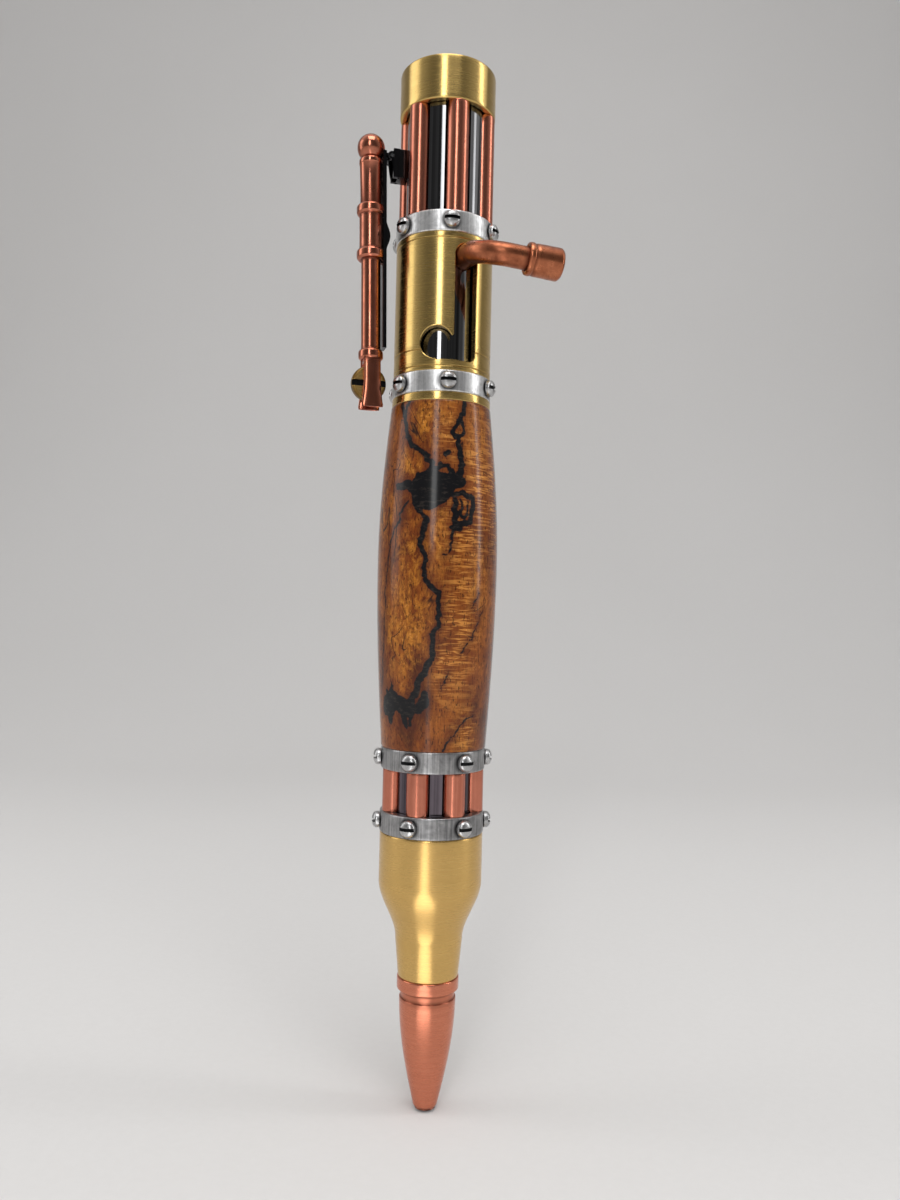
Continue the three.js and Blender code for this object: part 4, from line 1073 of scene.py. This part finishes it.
# Spring: a wire carried along a helix
def makeSpring():
    base, top, _ = measure("return_spring")
    low, high = base + spring["wire"], top - spring["wire"]
    share = np.linspace(0, 1, spring["turns"] * 36)
    angle = 2 * pi * spring["turns"] * share
    helix = np.column_stack([spring["mean"] * np.cos(angle), spring["mean"] * np.sin(angle),
                             low + (high - low) * share])
    grids, marks = carriedGrid(helix, spring["wire"], 12)
    piece = makePiece("returnSpring", grids, "plainSteel", "bolt", ["return_spring"], marks)
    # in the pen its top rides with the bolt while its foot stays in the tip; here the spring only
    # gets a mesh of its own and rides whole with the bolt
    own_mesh(piece)


makeBolt()
makeLever()
makeRefill()
makeSpring()
print("bolt, lever, refill and spring ready")

# Clip, drawn in front of the pen about its hinge and then leaned and turned into place
clip = {"azimuth": -73.5, "lean": 1.3, "hingeRadius": 7.6, "hingeDrop": 6.0, "offset": 2.6,
        "pipe": 1.35, "sleeve": 1.5, "lower": 1.25, "collar": 1.85, "endCollar": 1.6,
        "ball": 1.8, "ballRise": 0.95, "seatShare": 0.8, "length": 26.7, "collarLength": 1.3,
        "sleeveLength": 4.5, "sleeveDrop": 7.9, "ballCollar": 1.55, "ballCollarLength": 1.0,
        "faceGap": 0.05, "collarStep": 0.2, "collarEdge": 0.25}
strip = {"thickness": 0.5, "width": 1.8, "rise": 0.6, "tail": 1.6, "bumpHeight": 0.5,
         "bumpLength": 3.6, "bumpDrop": 10.5, "lug": 0.55, "lugWidth": 0.9, "ease": 0.06}
fork = {"thickness": 0.65, "width": 2.2, "foot": 2.9, "tail": 3.1, "yoke": 0.8, "sink": 0.25,
        "gap": 0.12, "axleInset": 0.2, "stainAndShade": 0.35}
roller = {"drop": 29.8, "offset": 0.3, "width": 1.3, "axle": 0.5, "radius": 2.25, "edge": 0.22,
          "slotWidth": 0.8, "slotDepth": 0.25, "rim": 1.85}
hingeLevel = measure("cap")[0] - clip["hingeDrop"]
clipSide = roundAt(clip["azimuth"])
clipPlace = (clipSide @ Matrix.Translation((0, -clip["hingeRadius"], hingeLevel))
             @ Matrix.Rotation(radians(clip["lean"]), 4, "X"))
stripFace = clip["offset"] - clip["pipe"] - clip["faceGap"]
forkTop = fork["sink"] - clip["length"]
forkFoot = -roller["drop"] - fork["tail"]
rollerSeat = (0, -clip["offset"] - roller["offset"], -roller["drop"])


def clipPiece(name, parts, finishName, body, replaced, place=clipPlace):
    grids, marks = placed(*parts, [place])
    return makePiece(name, grids, finishName, body, replaced, marks)


# Pipe: a turned outline with collars and a ball, pressed flat where it lies on the strip
def makePipe():
    def collar(base, length, radius, below, above):
        step, edge, top = clip["collarStep"], clip["collarEdge"], base + length
        return [(below, base), (radius - step, base), (radius, base + edge),
                (radius, top - edge), (radius - step, top), (above, top)]

    length, wide = clip["collarLength"], clip["collar"]
    sleeveTop = -clip["sleeveDrop"]
    sleeveFoot = sleeveTop - clip["sleeveLength"]
    angle = np.linspace(-np.arcsin(clip["seatShare"]), pi / 2, 22)
    ball = np.column_stack([clip["ball"] * np.cos(angle),
                            clip["ballRise"] + clip["ball"] * np.sin(angle)])
    ball[-1, 0] = 0
    seatRadius, seat = ball[0]
    ballLength = clip["ballCollarLength"]
    outline = [*collar(-clip["length"], length, clip["endCollar"], 0, clip["lower"]),
               *collar(sleeveFoot - length, length, wide, clip["lower"], clip["sleeve"]),
               *collar(sleeveTop, length, wide, clip["sleeve"], clip["pipe"]),
               *collar(seat - ballLength, ballLength, clip["ballCollar"], clip["pipe"], seatRadius),
               *ball[1:]]
    grid, marks = turnedGrid(outline, 64, rounding=0.3, step=0.3)
    points = grid[0] + np.array([0, -clip["offset"], 0])
    depth, height, gap = points[..., 1], points[..., 2], clip["faceGap"]
    on = (height < strip["rise"] + gap) & (height > strip["tail"] - clip["length"] - gap)
    points[..., 1] = np.where(on, np.minimum(depth, -stripFace - gap), depth)
    return joined(([(points, True, True)], marks), makeFork())


# Prong: an ellipse carried down the fork, wider at the foot and drawn in at its ends
def prongGrid(shift):
    share = np.concatenate([[0, 0], np.linspace(0, 1, 26), [1.0, 1.0]])
    draw = np.concatenate([[0, 0.9], np.ones(25), [0.94, 0.8, 0]])
    flare = (fork["foot"] - fork["width"]) / 2 * np.clip((share - 0.45) / 0.55, 0, 1) ** 1.6
    half = (fork["width"] / 2 + flare) * draw
    angle = np.linspace(0, 2 * pi, 40, endpoint=False)
    drop = np.where((draw <= 0.85) & (share > 0.5), 0.06, 0.0)
    height = forkTop + (forkFoot - forkTop) * share + drop
    grid = np.stack([shift + draw[:, None] * np.cos(angle) * fork["thickness"] / 2,
                     -clip["offset"] + half[:, None] * np.sin(angle),
                     np.repeat(height[:, None], len(angle), 1)], axis=-1)
    marks = unworn(grid.shape[0] * grid.shape[1])
    below = np.maximum(0, -clip["length"] - grid[..., 2])
    marks["patinaAndShade"] = np.exp(-below / fork["stainAndShade"]).ravel()
    return [(grid, False, True)], marks


# Fork: two prongs under a yoke
def makeFork():
    reach = roller["width"] / 2 + fork["gap"]
    shift = reach + fork["thickness"] / 2
    corners = np.array([(-1, 1), (1, 1), (1, -1), (-1, -1)])
    face = (corners * [fork["width"] / 2 - 0.1, fork["yoke"] / 2]
            + [-clip["offset"], forkTop - fork["yoke"] / 2])
    yoke = plateGrid(face, 2 * (reach + 0.1), 0.02)
    return joined(prongGrid(-shift), prongGrid(shift), yoke)


# Strip: a flat spring with one bump towards the pen, a lug and its web
def makeStrip():
    inner, base = stripFace - strip["thickness"], strip["tail"] - clip["length"]
    share = np.linspace(0, 1, 16)
    level = strip["bumpLength"] * (0.5 - share) - strip["bumpDrop"]
    bump = np.column_stack([strip["bumpHeight"] * np.sin(share * pi) ** 1.5 - inner, level])
    outline = [(-inner, strip["rise"]), *bump, (-inner, base), (-stripFace, base),
               (-stripFace, strip["rise"])]
    lug, back = strip["lug"], 0.1 - stripFace
    web = plateGrid([(0, lug), (back, lug), (back, -lug), (0, -lug),
                     *arc((0, 0), lug, -90, 90, 12)[1:-1]], strip["lugWidth"], 0.05)
    return joined(flatBand(np.array(outline), strip["width"] / 2), web)


# Long thin section carried across a width, closed by end faces that follow its middle
def flatBand(outline, half):
    ease, rows = strip["ease"], []
    for x, inset in ((-half, ease), (ease - half, 0), (half - ease, 0), (half, ease)):
        shrunk = outline.copy()
        shrunk[:, 0] += np.where(outline[:, 0] < -stripFace + 0.01, inset, -inset)
        rows.append(np.column_stack([np.full(len(outline), x), shrunk]))
    grid = np.stack(rows)
    ends = [closing(grid[0]), closing(grid[-1])]
    count = sum(part.shape[0] * part.shape[1] for part in (grid, *ends))
    return [(grid, False, True), *[(end, False, False) for end in ends]], unworn(count)


# End face of a thin section: each point on its inner side is joined to the one across from it
def closing(section):
    inner, low, high = section[:-2], section[-2], section[-1]
    share = ((inner[:, 2] - high[2]) / (low[2] - high[2]))[:, None]
    return np.stack([inner, high + (low - high) * share])


# Roller: a disc on its axle, with a slot across each face and painted shade on its rim
def makeRoller():
    half, edge = roller["width"] / 2, roller["edge"]
    bore, outer = roller["axle"] + 0.1, roller["radius"]
    outline = [(bore, -half), (outer - edge, -half), (outer, edge - half), (outer, half - edge),
               (outer - edge, half), (bore, half)]
    grid, marks = turnedGrid(outline, 80, rounding=0.12, step=0.2)
    fromAxis = np.hypot(grid[0][..., 0], grid[0][..., 1]).ravel()
    # Painted shade on the rim, outside the rim radius
    marks["patinaAndShade"] = np.where(fromAxis > roller["rim"], 1.0, marks["patinaAndShade"])
    marks["proud"] = np.zeros(fromAxis.shape)
    lay = clipPlace @ Matrix.Translation(rollerSeat) @ quarterTurn("Y")
    grids, marks = placed([grid], marks, [lay])
    piece = makePiece("clipRoller", grids, "paleBrass", "roller", ["clip_roller"], marks)
    corners = np.array([(-1, -1), (1, -1), (1, 1), (-1, 1)])
    bar = corners * [roller["slotWidth"] / 2, roller["slotDepth"]]
    slot = prism(bar, -outer * 1.4, outer * 1.4, (1, 0, 2))
    faces = [lay @ Matrix.Translation((0, 0, side * half)) for side in (-1, 1)]
    carve(piece, [makeCutter("slot", moved(slot, face)) for face in faces], "paintedSlotShade")


# Straight bar across the front of the pen, with eased ends
def crossBar(radius, length, place):
    outline = [(0, -length / 2), (radius, -length / 2), (radius, length / 2), (0, length / 2)]
    grid, marks = turnedGrid(outline, 40, rounding=0.06, step=0.3)
    return placed([grid], marks, [Matrix.Translation(place) @ quarterTurn("Y")])


bracket = {"height": 3.8, "setback": 0.2, "rise": 1.0, "root": 5.35, "slotDepth": 0.8,
           "ear": 0.58, "earThickness": 0.5, "lugGap": 0.08, "tenonWidth": 1.2,
           "tenonHeight": 2.6, "tenonDepth": 1.0, "tenonOverlap": 0.3, "earOverlap": 0.2,
           "pin": 0.3}


# Bracket: a block with a tenon behind it and two ears round the hinge pin
def makeBracket():
    width = strip["lugWidth"] + 2 * (bracket["lugGap"] + bracket["earThickness"])
    front, root = clip["hingeRadius"] - bracket["slotDepth"], bracket["root"]
    top = hingeLevel + bracket["rise"]
    foot, middle = top - bracket["height"], top - bracket["height"] / 2
    block = plateGrid([(-root, top), (-front, top), (-front, foot), (-root, foot)], width, 0.12)
    back, fore = root - bracket["tenonDepth"], root + bracket["tenonOverlap"]
    high, low = middle + bracket["tenonHeight"] / 2, middle - bracket["tenonHeight"] / 2
    tenon = plateGrid([(-back, high), (-fore, high), (-fore, low), (-back, low)],
                      bracket["tenonWidth"], 0.02)
    outer, inset = clip["hingeRadius"] - bracket["setback"], bracket["earOverlap"] - front
    crest = arc((-clip["hingeRadius"], hingeLevel), bracket["ear"], 90, 270, 18)
    ear = plateGrid([(inset, top), (-outer, top), (-outer, hingeLevel + bracket["ear"]), *crest,
                     (-outer, hingeLevel - bracket["ear"]), (-outer, foot), (inset, foot)],
                    bracket["earThickness"], 0.06)
    shift = (width - bracket["earThickness"]) / 2
    ears = [placed(*ear, [Matrix.Translation((side * shift, 0, 0))]) for side in (-1, 1)]
    clipPiece("clipBracket", joined(block, tenon, *ears), "blackChrome", "pen",
              ["clip_bracket"], clipSide)
    pin = crossBar(bracket["pin"], width, (0, -clip["hingeRadius"], hingeLevel))
    clipPiece("clipPin", pin, "plainSteel", "pen", ["clip_pin"], clipSide)


clipPiece("clipPipe", makePipe(), "pipeCopper", "clip", ["clip_bar"])
clipPiece("clipStrip", makeStrip(), "blackChrome", "clip", ["clip_strip"])
makeRoller()
makeBracket()
axleLength = roller["width"] + 2 * (fork["gap"] + fork["thickness"] - fork["axleInset"])
axle = crossBar(roller["axle"], axleLength, rollerSeat)
clipPiece("rollerAxle", axle, "plainSteel", "clip", ["roller_axle"])
print("clip ready")


# Floor and backdrop, in metres: one sheet that sweeps up behind in a quarter circle
stage = {"width": 10.0, "front": -1.8, "back": 0.55, "sweep": 0.30, "height": 1.2,
         "floor": -0.0003, "dark": (0.66, 0.65, 0.64), "pale": (0.76, 0.75, 0.745)}


def makeStage():
    angle = np.linspace(-pi / 2, 0, 24)
    sweepY = stage["back"] - stage["sweep"] + stage["sweep"] * np.cos(angle)
    sweepZ = stage["floor"] + stage["sweep"] + stage["sweep"] * np.sin(angle)
    outline = [(stage["front"], stage["floor"]), *zip(sweepY, sweepZ),
               (stage["back"], stage["height"])]
    half = stage["width"] / 2
    grid = np.stack([np.column_stack([np.full(len(outline), x), outline]) for x in (-half, half)])
    mesh = bpy.data.meshes.new("backdrop")
    faces = gridFaces(*grid.shape[:2], False, False)
    mesh.from_pydata(grid.reshape(-1, 3).tolist(), [], faces.tolist())
    mesh.polygons.foreach_set("use_smooth", np.ones(len(mesh.polygons), bool))
    floor = placeObject("backdrop", mesh)
    finish, tree, shader = newMaterial("paleCloth")
    weave = noiseAt(tree, objectPlace(tree, (1, 1, 1)), 900.0, 4.0, 0.6)
    # Broad tone clouds in the cloth stand for painted shade of folds
    foldShade = noiseAt(tree, objectPlace(tree, (1, 1, 1)), 4.0, 2.0, 0.4)
    tone = mathOf(tree, "ADD", product(tree, weave, 0.3), product(tree, foldShade, 0.7))
    feed(tree, shader, {
        "Base Color": mixed(tree, tone, stage["dark"], stage["pale"]),
        "Roughness": 0.9, "Specular IOR Level": 0,
        "Normal": bumpOf(tree, weave, 0.15, 0.2),
    })
    mesh.materials.append(finish)


# Lights: place and aim in metres, size across and up, and the radiance of the lamp's face
lamps = {
    "windowStrip": {"place": (-0.10, -0.62, 0.34), "aim": (0, 0, 0.09), "size": (0.11, 0.42),
                    "radiance": 6.2},
    "leftSheet": {"place": (-0.46, -0.02, 0.27), "aim": (0, 0, 0.07), "size": (0.20, 0.44),
                  "radiance": 1.3},
    "rightSheet": {"place": (0.46, -0.03, 0.27), "aim": (0, 0, 0.07), "size": (0.06, 0.44),
                   "radiance": 4.6},
    "topSheet": {"place": (0.02, -0.22, 0.62), "aim": (0, 0, 0.06), "size": (0.34, 0.34),
                 "radiance": 4.0},
    "lowStrip": {"place": (-0.025, -0.126, 0.012), "aim": (0, 0, 1.6), "size": (0.022, 0.22),
                 "radiance": 1.8},
    "softFill": {"place": (0.25, -0.95, 0.55), "aim": (0, 0, 0.07), "size": (0.9, 0.9),
                 "radiance": 0.9},
}
room = {"front": 0.12, "back": 0.85, "tone": (1.0, 0.99, 0.98)}


# A lamp's power is pi times its radiance times its area
def makeLights():
    for name, size in lamps.items():
        light = bpy.data.lights.new(name, "AREA")
        light.shape, light.size, light.size_y = "RECTANGLE", *size["size"]
        light.energy = pi * size["radiance"] * size["size"][0] * size["size"][1]
        lamp = placeObject(name, light)
        back = unit(np.array(size["place"]) - np.array(size["aim"]))
        across = unit(np.cross([0, 0, 1.0], back))
        turn = np.column_stack([across, np.cross(back, across), back])
        lamp.matrix_world = Matrix.Translation(size["place"]) @ Matrix(turn.tolist()).to_4x4()
        lamp.visible_glossy = name != "softFill"   # the fill leaves the gloss to the other lamps


# Room light: dim on the camera's side and brighter beside and behind the pen
def makeRoom():
    world = bpy.data.worlds.new("room")
    bpy.context.scene.world = world
    world.use_nodes = True
    tree = world.node_tree
    direction = addNode(tree, "ShaderNodeTexCoord", {}).outputs["Generated"]
    depth = addNode(tree, "ShaderNodeSeparateXYZ", {"Vector": direction}).outputs["Y"]
    feed(tree, tree.nodes["Background"], {
        "Color": (*room["tone"], 1),
        "Strength": spread(tree, depth, -0.7, 0.1, room["front"], room["back"]),
    })


# Camera at the photograph's place: focal length 940 pixels on a frame 1200 pixels high
view = {"place": (1.77, -123.36, 62.25), "tilt": 1.51, "roll": 1.32, "focalPixels": 940,
        "framePixels": 1200, "sensor": 36, "clip": (0.005, 10)}


def makeCamera():
    lens = bpy.data.cameras.new("photoView")
    lens.sensor_fit, lens.sensor_height = "VERTICAL", view["sensor"]
    lens.lens = view["sensor"] * view["focalPixels"] / view["framePixels"]
    lens.clip_start, lens.clip_end = view["clip"]
    camera = placeObject("photoView", lens)
    camera.matrix_world = (Matrix.Translation(np.array(view["place"]) * mm)
                           @ Matrix.Rotation(radians(90 + view["tilt"]), 4, "X")
                           @ Matrix.Rotation(radians(view["roll"]), 4, "Z"))
    bpy.context.scene.camera = camera


makeStage()
makeLights()
makeRoom()
makeCamera()
bpy.context.scene.view_settings.view_transform = "Standard"
print("stage, lights and camera ready")

bpy.context.view_layer.update()
